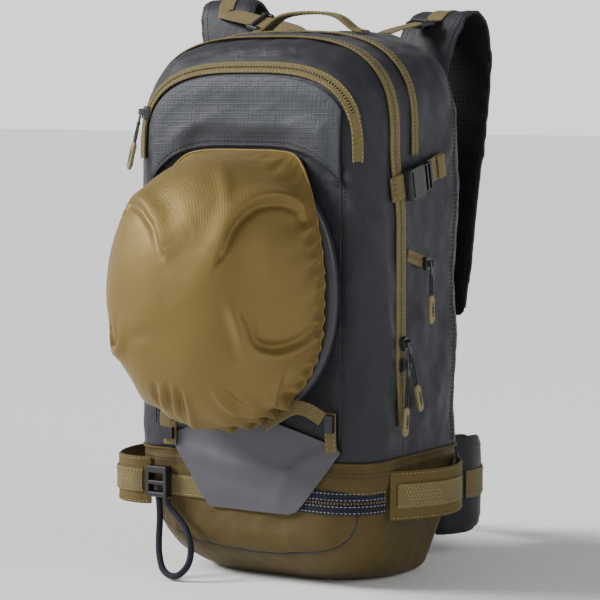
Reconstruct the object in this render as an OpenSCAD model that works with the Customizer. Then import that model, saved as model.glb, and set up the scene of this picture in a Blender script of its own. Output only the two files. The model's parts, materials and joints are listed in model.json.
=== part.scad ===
// Avalanche airbag backpack with a helmet stowed in its front sling.
// Lengths are in millimetres. The floor is z = 0, the front of the pack looks along -Y
// and the wearer's back is on the +Y side.

/* [Body] */
// Width of the pack body
body_w = 290; // [276:1:310]
// Depth of the pack body from the front face to the back face
body_d = 210; // [200:1:230]
// Height of the top crest above the floor
body_h = 567; // [556:1:596]
// Thickness of the walls with their lining
wall = 3; // [2:0.5:4]
// Radius of the body's upright edges
edge_r = 38; // [34:1:42]
// Height of the arch that tops the body
arch_h = 108; // [100:1:120]
// Fall of the top from its crest to the front face
front_drop = 26; // [18:1:36]
// Fall of the top from its crest to the back face
back_drop = 30; // [22:1:38]
// Height of the base boot
boot_h = 132; // [124:1:140]
// Radius of the boot's bottom edge
boot_r = 10; // [6:1:16]
// Narrowing of the boot on each side, from its top edge to the floor
boot_in = 28; // [10:1:32]
// Drawing-in of the boot's back, from its top edge to the floor
boot_back_in = 30; // [10:1:34]
// Set-back of the boot's lower front edge on the floor
boot_toe = 52; // [20:1:60]
// Depth of the front panel from the front face to the main zip
panel_d = 63; // [56:1:70]

/* [Helmet and sling] */
// Half width of the sling cover
sling_w = 112; // [106:1:116]
// Half height of the sling cover
sling_h = 137; // [131:1:140]
// Reach of the sling cover in front of its rim
sling_b = 125; // [110:1:135]
// Thickness of the sling cloth
sling_t = 1.6; // [1.2:0.1:2.4]
// Thickness of the helmet with its liner
helmet_t = 11; // [8:1:16]

/* [Harness] */
// Width of a shoulder strap
strap_w = 68; // [60:1:74]
// Thickness of a shoulder strap
strap_t = 14; // [10:1:15]
// Height of a hip belt wing
wing_h = 108; // [96:1:112]
// Thickness of a hip belt wing
wing_t = 14; // [11:1:15]
// Thickness of the back pads
pad_t = 14; // [10:1:18]
// Thickness of all webbing
web_t = 1.6; // [1.2:0.1:2]

/* [Side loops] */
// Stand-off of a ski loop from the boot
loop_out = 34; // [26:1:40]
// Height of a ski loop band
loop_h = 50; // [40:1:56]

/* [Airbag system] */
// Radius of the gas canister
canister_r = 26; // [22:0.5:28]
// Length of the canister's body
canister_l = 190; // [170:1:195]

/* [Hidden] */
$fn = 32;
// Clearance between pieces that move on each other
gap = 0.4;
// Clearance of sewn-on pieces from the cloth below
seat = 0.3;
front_y = -body_d / 2;
back_y = body_d / 2;
side_x = body_w / 2;
part_y = front_y + panel_d;
crest_y = 50;
arch_n = 3;
side_steps = 1;
arch_steps = 22;
body_steps = 2 * side_steps + arch_steps;
// Lowest height of the front panel and the main shell above the boot
panel_z0 = boot_h + 2 * gap;
shell_z0 = boot_h + seat;
// Depths at which the rings of the front panel and of the main shell stand
panel_ys = [part_y - gap / 2, front_y + edge_r, front_y + 20, front_y + 10, front_y + 3, front_y];
shell_ys = [part_y + gap / 2, part_y + 14, -14, -2, 10, 30, crest_y, back_y - edge_r, back_y - 20,
  back_y - 8, back_y - 2, back_y];
// Front layer of cloth that holds the flap
flap_t = 2.2;
flap_y = front_y - seat - web_t - seat;
// Height of the front panel's fold line
fold_z = boot_h + 1.6;

function unit(v) = v / norm(v);
function at(v, i) = is_list(v) ? v[i] : v;
function spow(v, e) = sign(v) * pow(abs(v), e);
function inset_at(d, r) = d >= r ? 0 : r - sqrt(r * r - (r - max(d, 0)) * (r - max(d, 0)));
function edge_inset(y) = inset_at(min(y - front_y, back_y - y), edge_r);
function fall(y) = y < crest_y
  ? front_drop * pow((crest_y - y) / (crest_y - front_y), 2)
  : back_drop * pow((y - crest_y) / (back_y - crest_y), 2);
function top_z(y) = body_h - fall(y);

// Point of the body's skin at station k of the ring at depth y, moved out by a given amount.
function body_point(k, y, out, z0) =
  let (
    inset = edge_inset(y),
    w = side_x - inset + out,
    spring = top_z(y) - arch_h,
    rise = arch_h - inset + out,
    a = 180 * (k - side_steps) / arch_steps
  )
  k <= side_steps ? [w, y, z0 + (spring - z0) * k / side_steps]
  : k < side_steps + arch_steps
    ? [w * spow(cos(a), 2 / arch_n), y, spring + rise * pow(sin(a), 2 / arch_n)]
    : [-w, y, z0 + (spring - z0) * (body_steps - k) / side_steps];
function body_ring(y, out, z0) = [for (k = [0 : body_steps]) body_point(k, y, out, z0)];
// Height of the skin over a place on the top
function skin_z(x, y) =
  let (rise = arch_h - edge_inset(y), w = side_x - edge_inset(y))
  top_z(y) - arch_h + rise * pow(1 - pow(abs(x) / w, arch_n), 1 / arch_n);

// Plan ring with its own corner radius at the front and at the back
corner_steps = 6;
function plan_ring(a, front, back, r_front, r_back, z) = [
  for (q = [0 : 3]) for (i = [0 : corner_steps])
    let (
      t = 90 * q + 90 * i / corner_steps,
      sx = (q == 0 || q == 3) ? 1 : -1,
      r = q < 2 ? r_back : r_front,
      y = q < 2 ? back - r : front + r
    )
    [sx * (a - r) + r * cos(t), y + r * sin(t), z]
];

// Ring of the boot at a height, moved in by a given amount.
// The boot narrows towards the floor, and its front rounds off and turns under.
toe_h = 58;
boot_levels = [1, 0.82, 0.55, 0.34, 0.21, 0.106, 0.038, 0];
function boot_ring(z, inset) =
  let (
    f = pow(1 - min(z, boot_h) / boot_h, 1.5),
    e = inset + inset_at(z, boot_r),
    front = front_y + 4 * f + inset + boot_toe * pow(max(toe_h - z, 0) / toe_h, 2.3),
    back = back_y - boot_back_in * f - e,
    r_back = edge_r - 12 * f - inset,
    r_front = min(edge_r + 42 * f - inset, back - front - r_back - 1)
  )
  plan_ring(side_x - boot_in * f - e, front, back, r_front, r_back, z);

// Ring of a helmet-like dome: s runs from the rim at 0 to the apex at 1.
dome_steps = 32;
dome_p = 2.45;
dome_q = 2.2;
dome_s = [0, 0.1, 0.22, 0.34, 0.46, 0.58, 0.7, 0.81, 0.9, 0.965];
function dome_ring(cx, cz, ax, az, b, y0, s) =
  let (k = pow(cos(90 * s), 2 / dome_p), d = b * pow(sin(90 * s), 2 / dome_p))
  [for (i = [0 : dome_steps - 1])
    let (t = 360 * i / dome_steps)
    [cx + ax * k * spow(cos(t), 2 / dome_q), y0 - d, cz + az * k * spow(sin(t), 2 / dome_q)]];

// Smooth route through chosen points
function spline_point(p, i, s) =
  let (a = p[max(i - 1, 0)], b = p[i], c = p[i + 1], d = p[min(i + 2, len(p) - 1)])
  0.5 * (2 * b + (c - a) * s + (2 * a - 5 * b + 4 * c - d) * s * s + (3 * b - a - 3 * c + d) * s * s * s);
function spline(p, steps) = concat(
  [for (i = [0 : len(p) - 2]) for (j = [0 : steps - 1]) spline_point(p, i, j / steps)],
  [p[len(p) - 1]]
);
function tangent(path, i) = unit(path[min(i + 1, len(path) - 1)] - path[max(i - 1, 0)]);
function strap_ring(path, i, across, w, t, section) =
  let (f = tangent(path, i), s = unit(across - f * (across * f)), n = cross(f, s))
  [for (c = section) path[i] + s * c[0] * w / 2 + n * c[1] * t / 2];
flat_section = [[-1, -1], [1, -1], [1, 1], [-1, 1]];
pad_section = [for (i = [0 : 15]) [spow(cos(22.5 * i), 0.62), spow(sin(22.5 * i), 0.62)]];
cord_section = [for (i = [0 : 7]) [cos(45 * i), sin(45 * i)]];

// Rings of a solid in the order that makes its faces look outward
function turned(ring) = [for (j = [len(ring) - 1 : -1 : 0]) ring[j]];
function total(v, i = 0) = i == len(v) - 1 ? v[i] : v[i] + total(v, i + 1);
function centre(ring) = total(ring) / len(ring);
function area_of(ring) =
  let (c = centre(ring), n = len(ring))
  total([for (j = [0 : n - 1]) cross(ring[j] - c, ring[(j + 1) % n] - c)]);
function faces_on(rings) = area_of(rings[0]) * (centre(rings[1]) - centre(rings[0])) > 0;
function ordered(rings, on) = on ? rings : [for (r = rings) turned(r)];

module loft(rings) {
  m = len(rings);
  n = len(rings[0]);
  polyhedron(
    points = [for (r = ordered(rings, faces_on(rings))) for (p = r) p],
    faces = concat(
      [for (i = [0 : m - 2]) for (j = [0 : n - 1]) [i * n + j, (i + 1) * n + j, i * n + (j + 1) % n]],
      [for (i = [0 : m - 2]) for (j = [0 : n - 1])
        [i * n + (j + 1) % n, (i + 1) * n + j, (i + 1) * n + (j + 1) % n]],
      [[for (j = [0 : n - 1]) j]],
      [[for (j = [n - 1 : -1 : 0]) (m - 1) * n + j]]
    )
  );
}

// Open shell: both lists of rings start at the rim and end at the closed side.
module cup(outer, inner) {
  m = len(outer);
  k = len(inner);
  n = len(outer[0]);
  o = m * n;
  polyhedron(
    points = concat(
      [for (r = ordered(outer, faces_on(outer))) for (p = r) p],
      [for (r = ordered(inner, faces_on(outer))) for (p = r) p]
    ),
    faces = concat(
      [for (i = [0 : m - 2]) for (j = [0 : n - 1]) [i * n + j, (i + 1) * n + j, i * n + (j + 1) % n]],
      [for (i = [0 : m - 2]) for (j = [0 : n - 1])
        [i * n + (j + 1) % n, (i + 1) * n + j, (i + 1) * n + (j + 1) % n]],
      [[for (j = [n - 1 : -1 : 0]) (m - 1) * n + j]],
      [for (i = [0 : k - 2]) for (j = [0 : n - 1])
        [o + i * n + j, o + i * n + (j + 1) % n, o + (i + 1) * n + j]],
      [for (i = [0 : k - 2]) for (j = [0 : n - 1])
        [o + i * n + (j + 1) % n, o + (i + 1) * n + (j + 1) % n, o + (i + 1) * n + j]],
      [[for (j = [0 : n - 1]) o + (k - 1) * n + j]],
      [for (j = [0 : n - 1]) [j, (j + 1) % n, o + j]],
      [for (j = [0 : n - 1]) [(j + 1) % n, o + (j + 1) % n, o + j]]
    )
  );
}

module strap(path, across, w, t, section = flat_section) {
  loft([for (i = [0 : len(path) - 1]) strap_ring(path, i, across, at(w, i), at(t, i), section)]);
}

// Band that lies on the body's skin: each corner of its section is a depth and a height over the skin.
// It runs over the given stations, and a station of 0 stands at height z0.
module skin_band(section, stations, z0 = 0) {
  loft([for (k = stations) [for (c = section) body_point(k, c[0], c[1], z0)]]);
}

module box(low, high) {
  translate(low)
    cube(high - low);
}

module both_sides() {
  children();
  mirror([1, 0, 0])
    children();
}

// Upright cushion with a rounded crown, seen from its back face
module cushion(x0, x1, y0, t, z0, z1) {
  cx = (x0 + x1) / 2;
  cz = (z0 + z1) / 2;
  hx = (x1 - x0) / 2;
  hz = (z1 - z0) / 2;
  r = min(hx, hz) * 0.45;
  levels = [[0, 1.5], [0.25, 0], [0.65, 0], [0.87, 3], [1, 9]];
  loft([for (l = levels) [for (p = plan_ring(hx - l[1], l[1] - hz, hz - l[1], r, r, 0)) [cx + p[0],
    y0 + t * l[0], cz + p[1]]]]);
}

/* Zips */
tape_t = 1.2;
coil_t = 2.6;
tape_w = 9;
coil_w = 3;
// Section of one zip half: the coil stands at its free edge
function zip_section(y0, y1, dir) = [
  [y0, seat], [y1, seat], [y1, seat + tape_t], [y0 + dir * coil_w, seat + tape_t],
  [y0 + dir * coil_w, seat + coil_t], [y0, seat + coil_t]
];
zip_z0 = boot_h + 34;
// Stations on the arch at which the pocket zip and the top zip end
pocket_zip_k = 3;
top_zip_k = 2;
top_zip_y = -8;
// Height over the skin at which sliders run
slider_out = seat + coil_t + gap;
slider_t = 4;
pin_r = 0.9;
eye_r = 1.2;
pin_out = slider_out + slider_t + 3.2;
slider_l = 13;
slider_w = 9;

// Slider standing on +X with its pull's pin along Y
module slider() {
  translate([slider_out, -slider_w / 2, -slider_l / 2])
    cube([slider_t, slider_w, slider_l]);
  for (s = [-1, 1])
    translate([slider_out + slider_t - 0.5, s * 3 - 0.75, -3])
      cube([pin_out - slider_out - slider_t + 2, 1.5, 6]);
  translate([pin_out, 0, 0])
    rotate([90, 0, 0])
      cylinder(h = 6, r = pin_r, center = true);
}

// Pull hanging from its eye at the origin: eye, tongue, cord and moulded grip
module pull(length) {
  grip_l = 30;
  difference() {
    union() {
      rotate([90, 0, 0])
        cylinder(h = 3.4, r = 2.6, center = true);
      translate([-1, -1.7, -12])
        cube([2, 3.4, 10.5]);
    }
    rotate([90, 0, 0])
      cylinder(h = 5, r = eye_r, center = true);
  }
  translate([-1.4, -2.6, -14])
    cube([2.8, 5.2, 2.5]);
  for (s = [-1, 1])
    translate([0, s * 1.5, grip_l - length - 2])
      cylinder(h = length - grip_l - 10, r = 1.1);
  difference() {
    translate([-2.6, -5, -length])
      cube([5.2, 10, grip_l]);
    for (i = [0 : 3])
      for (s = [-1, 1])
        translate([s * 2.6, 0, 6 + 6 * i - length])
          rotate([0, 45, 0])
            cube([1.1, 12, 1.1], center = true);
  }
}

/* Sling and helmet */
sling_x = -5;
sling_z = 303;
sling_low = sling_z - sling_h;
rim_y = front_y - 19;
hem_z = sling_z + sling_h + 4;
hem_r = 2;
hem_y = front_y - hem_r - seat;
flare_x = -2;
flare_w = sling_w + 4.5;
flare_h = sling_h - 4;
helmet_w = sling_w - sling_t - 1;
helmet_h = sling_h - sling_t - 1;
helmet_b = sling_b - sling_t - 1;
helmet_y = front_y - gap;
// Lower edge of the front pocket
hem_gap = 4.5;
hem_fall = 27;
pocket_t = 6;
pocket_in = 2;
function hem_at(x) = hem_z + hem_gap - hem_fall * pow(x / (side_x - edge_r - pocket_in), 4);

/* Harness */
strap_x = 70;
strap_z = body_h - 118;
strap_y = back_y + seat + strap_t / 2;
lower_z = boot_h + 130;
strap_right = spline([
  [strap_x, strap_y, strap_z], [strap_x + 2, strap_y + 1, strap_z + 34],
  [strap_x + 8, back_y + 19, body_h - 24],
  [strap_x + 14, back_y + 41, body_h + 12], [strap_x + 22, back_y + 62, body_h + 14],
  [strap_x + 27, back_y + 71, body_h - 8], [strap_x + 29, back_y + 69, body_h - 46],
  [strap_x + 30, back_y + 56, body_h - 124], [strap_x + 30, back_y + 42, boot_h + 238],
  [strap_x + 29, back_y + 32, boot_h + 170], [strap_x + 28, back_y + 26, lower_z]
], 3);
strap_left = spline([
  [-strap_x, strap_y, strap_z], [-strap_x - 10, strap_y + 1, strap_z + 30],
  [-strap_x - 46, back_y + 10, strap_z + 63],
  [-strap_x - 80, back_y + 11, body_h - 31], [-strap_x - 98, back_y + 15, body_h - 3],
  [-strap_x - 107, back_y + 27, body_h + 26], [-strap_x - 110, back_y + 45, body_h + 35],
  [-strap_x - 108, back_y + 62, body_h + 20], [-strap_x - 98, back_y + 70, body_h - 18],
  [-strap_x - 78, back_y + 69, body_h - 68], [-strap_x - 54, back_y + 56, body_h - 126],
  [-strap_x - 37, back_y + 42, boot_h + 238], [-strap_x - 29, back_y + 32, boot_h + 170],
  [-strap_x - 28, back_y + 26, lower_z]
], 3);
function strap_width(path) = [for (i = [0 : len(path) - 1]) strap_w - 14 * pow(i / (len(path) - 1), 2)];
strap_end = strap_right[len(strap_right) - 1];
lock_w = 34;
lock_h = 20;
lock_t = 7;

/* Hip belt */
hinge_x = 86;
hinge_y = back_y + 13.5;
wing_z = 79;
lumbar_x = hinge_x - wing_t / 2 - gap;
wing_route = spline([
  [hinge_x + wing_t / 2 + 2 * gap, hinge_y, wing_z], [hinge_x + 22, hinge_y + 6, wing_z],
  [hinge_x + 34, hinge_y + 29, wing_z], [hinge_x + 32, hinge_y + 57, wing_z],
  [hinge_x + 16, hinge_y + 84, wing_z], [hinge_x - 10, hinge_y + 104, wing_z]
], 3);
wing_n = len(wing_route) - 1;
wing_heights = [for (i = [0 : wing_n]) wing_h - 44 * pow(i / wing_n, 2)];
belt_web_w = 38;
wing_tip = wing_route[wing_n];
belt_route = spline([
  wing_tip + [-0.4, 0.2, 0], wing_tip + [-26, 13, 0], wing_tip + [-56, 20, 0]
], 3);
belt_end = belt_route[len(belt_route) - 1];

/* Side loops */
loop_z = 97;
loop_y0 = -62;
loop_y1 = 84;
loop_t = 3;
loop_right = spline([
  [side_x - 0.9 + loop_t / 2, loop_y0, loop_z], [side_x + 0.45 * loop_out, loop_y0 + 18, loop_z],
  [side_x + 0.9 * loop_out, loop_y0 + 46, loop_z], [side_x + loop_out, loop_y0 + 74, loop_z],
  [side_x + 0.74 * loop_out, loop_y0 + 104, loop_z], [side_x + 0.25 * loop_out, loop_y0 + 128, loop_z],
  [side_x - inset_at(back_y - loop_y1, edge_r) + seat + 0.6 * loop_t, loop_y1, loop_z]
], 3);
// The left loop starts at the front corner, beside the ice axe buckle
axe_x = -104;
axe_w = 26;
loop_left = spline([
  [axe_x - axe_w / 2 - 1.2, front_y + 0.1, loop_z], [-side_x + 8, front_y - 4, loop_z],
  [-side_x - 0.45 * loop_out, front_y + 4, loop_z], [-side_x - 0.85 * loop_out, front_y + 28, loop_z],
  [-side_x - loop_out, front_y + 62, loop_z], [-side_x - 0.8 * loop_out, front_y + 98, loop_z],
  [-side_x - 0.3 * loop_out, front_y + 126, loop_z], [-side_x - seat - loop_t / 2, front_y + 146, loop_z]
], 3);

/* Buckles */
buckle_l = 26;
buckle_w = 32;
buckle_t = 9;
prong_t = 4;
tilt = 13;
comp_y = -30;
comp_z = body_h - 155;
// Height over the side at which the compression straps lie, clear of the zips below them
comp_out = seat + coil_t + gap;
comp_w = 25;

// Female half along X: its mouth is at +X
module buckle_female() {
  translate([0, 0, web_t + seat])
    difference() {
      translate([-buckle_l / 2, -buckle_w / 2, 0])
        cube([buckle_l, buckle_w, buckle_t]);
      translate([-buckle_l / 2 + 7, -12.5, 2])
        cube([buckle_l, 25, 5]);
      translate([-2, -buckle_w, 2])
        cube([9, 2 * buckle_w, 5]);
      translate([-buckle_l / 2 + 2, -12.5, -1])
        cube([3, 25, buckle_t + 2]);
    }
}

// Male half along X: two side prongs, a guide and a ladder lock bar
module buckle_male() {
  mouth = buckle_l / 2 + gap;
  translate([0, 0, web_t + seat]) {
    difference() {
      translate([mouth, -14, 0.6])
        cube([19, 28, 7.4]);
      for (x = [4, 11])
        translate([mouth + x, -12.5, -1])
          cube([4, 25, buckle_t + 2]);
    }
    for (s = [-1, 1])
      translate([-3, s * 10.5 - 1.6, 2.5])
        cube([mouth + 3.5, 3.2, prong_t]);
    translate([-1, -1.5, 2.5])
      cube([mouth + 1.5, 3, prong_t]);
  }
}

// Place on the right side of the body with X along the compression strap and Z outward
module on_side(y, z, out, turn) {
  translate([side_x + out, y, z])
    rotate([turn, 0, 0])
      rotate([90, 0, 90])
        children();
}

// Place on the chest between the shoulder straps
sternum_z = body_h - 128;
sternum_y = back_y + 62.5 + strap_t / 2;
module on_chest() {
  translate([-10, sternum_y, sternum_z])
    rotate([-90, 0, 0])
      children();
}

// Place for the main zip's sliders and pulls
main_slider_z = boot_h + 118;
end_slider_z = main_slider_z - 22;
pull_lean = 20;
end_lean = -6;
module on_main_zip(z, lean) {
  translate([side_x, part_y, z])
    rotate([lean, 0, 0])
      children();
}

// Place for the front pocket's slider at the left end of its zip
pocket_zip_y0 = front_y + 3;
pocket_zip_y1 = front_y + 10;
pocket_over = 0.6;
pocket_slider_k = body_steps - pocket_zip_k - 0.5;
pocket_front = body_point(pocket_slider_k, pocket_zip_y0, 0, 0);
pocket_rear = body_point(pocket_slider_k, pocket_zip_y1, 0, 0);
pocket_slope = atan2(pocket_front[0] - pocket_rear[0], pocket_zip_y1 - pocket_zip_y0);
pocket_drop = slider_out - 3.5 * gap - (pocket_over + coil_t) * cos(pocket_slope);
pocket_lean = 13;
module on_pocket_zip() {
  translate((pocket_front + pocket_rear) / 2)
    rotate([0, -pocket_lean, 180 + pocket_slope])
      translate([-pocket_drop, 0, 0])
        children();
}

// Side pocket zip
side_zip_y0 = part_y + tape_w + 3;
side_zip_y1 = 4;
side_zip_l = side_zip_y1 - side_zip_y0;
side_zip_z = boot_h + 202;
side_zip_turn = -15;

/* Frame */
sheet_y = back_y - wall - seat - 2.6;
stay_x = 52;
stay_w = 18;
stay_t = 3;

/* Airbag system */
canister_x = -80;
canister_y = back_y - 45;
bag_z = body_h - 126;
hose_l = 49;
valve_w = 44;
valve_h = 45;
valve_z = bag_z - hose_l - valve_h;
neck_r = 9;
neck_l = 22;
canister_z = valve_z - 9 - canister_l;
lever_z = valve_z + 32;
lever_y = canister_y - valve_w / 2 - 7;

// Trigger on the wearer's left shoulder strap
socket_x = -strap_x - 45;
socket_run = body_h - boot_h - 364;
socket_z = boot_h + 238 + 0.4225 * socket_run;
socket_y = back_y + 48.6 + strap_t / 2;
trigger_lean = -atan2(11.88, socket_run);
module on_trigger() {
  translate([socket_x, socket_y, socket_z])
    rotate([trigger_lean, 0, 0])
      children();
}
cable_r = 2;
cable_route = [
  [canister_x, lever_y - 1, valve_z + 52], [-94, canister_y - 22, bag_z - 22],
  [-103, canister_y - 2, bag_z - 16], [-103, back_y - 19, bag_z - 11],
  [-101, back_y + 3, bag_z - 7], [-93, back_y + 8, bag_z + 4], [-90, back_y + 8.5, bag_z + 30],
  [-112, back_y + 10, bag_z + 68], [-150, back_y + 11, bag_z + 95], [-168, back_y + 15, bag_z + 123],
  [-177, back_y + 27, bag_z + 152], [-180, back_y + 45, bag_z + 161], [-178, back_y + 62, bag_z + 146],
  [-168, back_y + 70, bag_z + 108], [-148, back_y + 69, bag_z + 58], [-126, back_y + 60, bag_z + 4],
  [socket_x, socket_y + 4, socket_z + 17]
];

// Ice axe loop hanging from its buckle on the boot
axe_y = front_y - 8;
axe_z = 82;
axe_r = 3.6;
axe_route = [
  [axe_x + 1, axe_y, axe_z - gap - 0.6], [axe_x + 3, axe_y - 1, 62], [axe_x + 4, axe_y - 4, 44],
  [axe_x + 8, axe_y - 10, 26], [axe_x + 17, axe_y - 17, 11], [axe_x + 29, axe_y - 21, 5],
  [axe_x + 41, axe_y - 21, 7],
  [axe_x + 49, axe_y - 16, 18], [axe_x + 48, axe_y - 10, 34], [axe_x + 39, axe_y - 5, 51],
  [axe_x + 26, axe_y - 2, 63],
  [axe_x + 14, axe_y - 0.6, 73], [axe_x + 12, axe_y, axe_z - gap - 1.4]
];

// Tub-shaped base of hard-wearing cloth
module base_boot() {
  outer = [for (l = boot_levels) boot_ring(l * boot_h, 0)];
  inner = [for (l = boot_levels) [for (p = boot_ring(l * boot_h, wall)) p + [0, 0, wall * (1 - l)]]];
  color("darkolivegreen")
    cup(outer, inner);
}

// Rear two thirds of the body, open towards the front panel
module main_shell() {
  outer = [for (y = shell_ys) body_ring(y, 0, shell_z0)];
  inner = concat(
    [for (y = shell_ys) if (y < back_y - wall - 1) body_ring(y, -wall, shell_z0 + wall)],
    [body_ring(back_y - wall, -wall, shell_z0 + wall)]
  );
  color("dimgray")
    cup(outer, inner);
}

// Stiff plastic sheet inside the back
module frame_sheet() {
  color("black")
    box([-92, sheet_y, shell_z0 + wall + 6], [92, back_y - wall - seat, body_h - 100]);
}

// Two aluminium stays in front of the sheet
module frame_stays() {
  color("silver")
    for (s = [-1, 1])
      translate([s * stay_x - stay_w / 2, sheet_y - seat - stay_t, shell_z0 + wall + 10])
        cube([stay_w, stay_t, 300]);
}

// Two long pads with a channel between them
module back_pads() {
  color("black")
    both_sides()
      cushion(9, 84, back_y + seat, pad_t, boot_h + 34, strap_z - 11);
}

// Pad over the boot between the hip belt wings
module lumbar_pad() {
  color("black")
    cushion(-lumbar_x, lumbar_x, back_y + seat, pad_t + 5, 34, boot_h - 2);
}

// Rear half of the zip that closes the main compartment
module main_zip_rear() {
  y0 = part_y + gap / 2;
  color("olive")
    skin_band(zip_section(y0, y0 + tape_w, 1), [0 : body_steps], zip_z0);
}

// Zip of the upper compartment
module top_zip() {
  color("olive")
    skin_band([
      [top_zip_y - 6, seat], [top_zip_y + 6, seat], [top_zip_y + 6, seat + tape_t],
      [top_zip_y + 2, seat + coil_t], [top_zip_y - 2, seat + coil_t], [top_zip_y - 6, seat + tape_t]
    ], [top_zip_k : body_steps - top_zip_k]);
}

// Short slanting zip on the right side
module side_pocket_zip() {
  color("black")
    on_side((side_zip_y0 + side_zip_y1) / 2, side_zip_z, seat, side_zip_turn) {
      translate([-side_zip_l / 2, -6, 0])
        cube([side_zip_l, 12, tape_t]);
      translate([-side_zip_l / 2, -2, tape_t])
        cube([side_zip_l, 4, coil_t - tape_t]);
    }
}

// Zip across the boot's front that turns round the right corner
module base_pocket_zip() {
  z = 92;
  w = 24;
  ring = [for (p = boot_ring(z + w / 2, -seat - web_t / 2)) [p[0], p[1], z]];
  corner = [for (i = [3 * (corner_steps + 1) : 4 * (corner_steps + 1) - 1]) ring[i]];
  last = corner[corner_steps];
  color("midnightblue")
    strap(concat([[-46, corner[0][1], z]], corner, [[last[0], loop_y0 - 4, z]]), [0, 0, 1], w, web_t);
}

// Part of the grey flap that lies on the boot
module stow_flap_lower() {
  color("slategray")
    translate([0, flap_y, 0])
      rotate([90, 0, 0])
        linear_extrude(flap_t)
          polygon([[-82, boot_h - gap], [-43, 76], [63, 79], [106, boot_h - gap]]);
}

module shoulder_strap_right() {
  color("darkslategray")
    strap(strap_right, [1, 0, 0], strap_width(strap_right), strap_t, pad_section);
}

module shoulder_strap_left() {
  color("darkslategray")
    strap(strap_left, [1, 0, 0], strap_width(strap_left), strap_t, pad_section);
}

// Load lifters, lower strap webbing and the sternum webbing
lifter_w = 20;
lifter_x = 62;
lifter_y = back_y - 36;
lifter_z = skin_z(lifter_x - lifter_w / 2, lifter_y) + seat + web_t;
lifter_right = concat(
  [[lifter_x, lifter_y, lifter_z], [lifter_x + 2, lifter_y + 22, lifter_z + 5]],
  [for (d = [[-5, -17, 5], [0, -3, 11.7], [5, 12, 12.7]]) strap_right[9] + d]
);
lifter_left = concat(
  [[-lifter_x, lifter_y, lifter_z], [-lifter_x - 4, lifter_y + 22, lifter_z + 5]],
  [for (d = [[30, -30, -16], [3, -14.9, -5.6], [0, -7.2, 5.6]]) strap_left[15] + d]
);
module shoulder_webbing() {
  color("tan") {
    for (route = [lifter_right, lifter_left])
      strap(spline(route, 3), [1, 0, 0], lifter_w, web_t);
    both_sides()
      strap(spline([
        strap_end + [0, -2, -5 - lock_h], strap_end + [1, -12, -56],
        [strap_end[0] + 2, back_y + 3, boot_h + 36], [strap_end[0] + 2, back_y + seat + web_t, boot_h + 8]
      ], 4), [1, 0, 0], 20, web_t);
    strap(spline([[strap_x + 26, sternum_y - 4.2, sternum_z], [40, sternum_y - 0.5, sternum_z],
      [4, sternum_y + web_t / 2, sternum_z]], 3), [0, 0, 1], 20, web_t);
    strap(spline([[-strap_x - 54, sternum_y - 3, sternum_z], [-50, sternum_y + 0.4, sternum_z],
      [-16, sternum_y + web_t / 2, sternum_z]], 3), [0, 0, 1], 20, web_t);
  }
}

// Ladder locks at the lower ends of the straps
module strap_locks() {
  color("black")
    both_sides()
      translate(strap_end + [-lock_w / 2, -lock_t / 2 - 1, -1.3 - lock_h])
        difference() {
          cube([lock_w, lock_t, lock_h]);
          for (z = [3, 11])
            translate([5, -1, z])
              cube([lock_w - 10, lock_t + 2, 5]);
        }
}

// Webbing handle on the crest
handle_x = 55;
handle_y = 20;
handle_rise = 18;
handle_w = 20;
handle_t = 3;
module grab_handle() {
  tail_x = handle_x + 12;
  rear = handle_y + handle_w / 2;
  over = seat + handle_t / 2;
  tail_z = skin_z(tail_x, rear) + over;
  foot_z = skin_z(handle_x, rear) + over + 1;
  side = [[tail_x, handle_y, tail_z], [handle_x, handle_y, foot_z], [handle_x - 22, handle_y, foot_z + 14]];
  color("tan")
    strap(spline(concat(
      [for (p = side) [-p[0], p[1], p[2]]], [[0, handle_y, body_h + handle_rise]],
      [for (i = [2 : -1 : 0]) side[i]]
    ), 3), [0, 1, 0], handle_w, handle_t);
}

// Webbing of the compression straps on both sides
module compression_webbing() {
  color("tan")
    both_sides()
      on_side(comp_y, comp_z, comp_out, tilt) {
        translate([-34, -comp_w / 2, 0])
          cube([32, comp_w, web_t]);
        translate([4, -comp_w / 2, 0])
          cube([70, comp_w, web_t]);
      }
}

module compression_females() {
  color("black")
    both_sides()
      on_side(comp_y, comp_z, comp_out, tilt)
        buckle_female();
}

module compression_male_right() {
  color("black")
    on_side(comp_y, comp_z, comp_out, tilt)
      buckle_male();
}

module compression_male_left() {
  color("black")
    mirror([1, 0, 0])
      on_side(comp_y, comp_z, comp_out, tilt)
        buckle_male();
}

module ski_loop_right() {
  color("peru")
    strap(loop_right, [0, 0, 1], loop_h, loop_t);
}

module ski_loop_left() {
  color("peru")
    strap(loop_left, [0, 0, 1], loop_h, loop_t);
}

// Webbing on the ski loops and the strap across the boot's front left
module base_webbing() {
  out = loop_t / 2 + seat + web_t / 2;
  right = [for (i = [2 : 12]) loop_right[i] + cross(tangent(loop_right, i), [0, 0, 1]) * out];
  left = [for (i = [3 : 14]) loop_left[i] - cross(tangent(loop_left, i), [0, 0, 1]) * out];
  color("tan") {
    strap(right, [0, 0, 1], 25, web_t);
    strap(left, [0, 0, 1], 25, web_t);
    box([axe_x - 6, front_y - seat - web_t, 84], [-48, front_y - seat, 106]);
  }
}

// Buckle that holds the ice axe loop
module axe_buckle() {
  color("black")
    difference() {
      box([axe_x - axe_w / 2, axe_y - 4.5, axe_z], [axe_x + axe_w / 2, flap_y + seat, axe_z + 32]);
      for (z = [5, 17])
        box([axe_x - axe_w / 2 + 4, axe_y - 6, axe_z + z],
          [axe_x + axe_w / 2 - 4, flap_y + 2, axe_z + z + 8]);
    }
}

// Tubular webbing loop for the head of an ice axe
module ice_axe_loop() {
  color("midnightblue")
    strap(spline(axe_route, 2), [0.2, -1, 0.1], 2 * axe_r, 2 * axe_r, cord_section);
}

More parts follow.
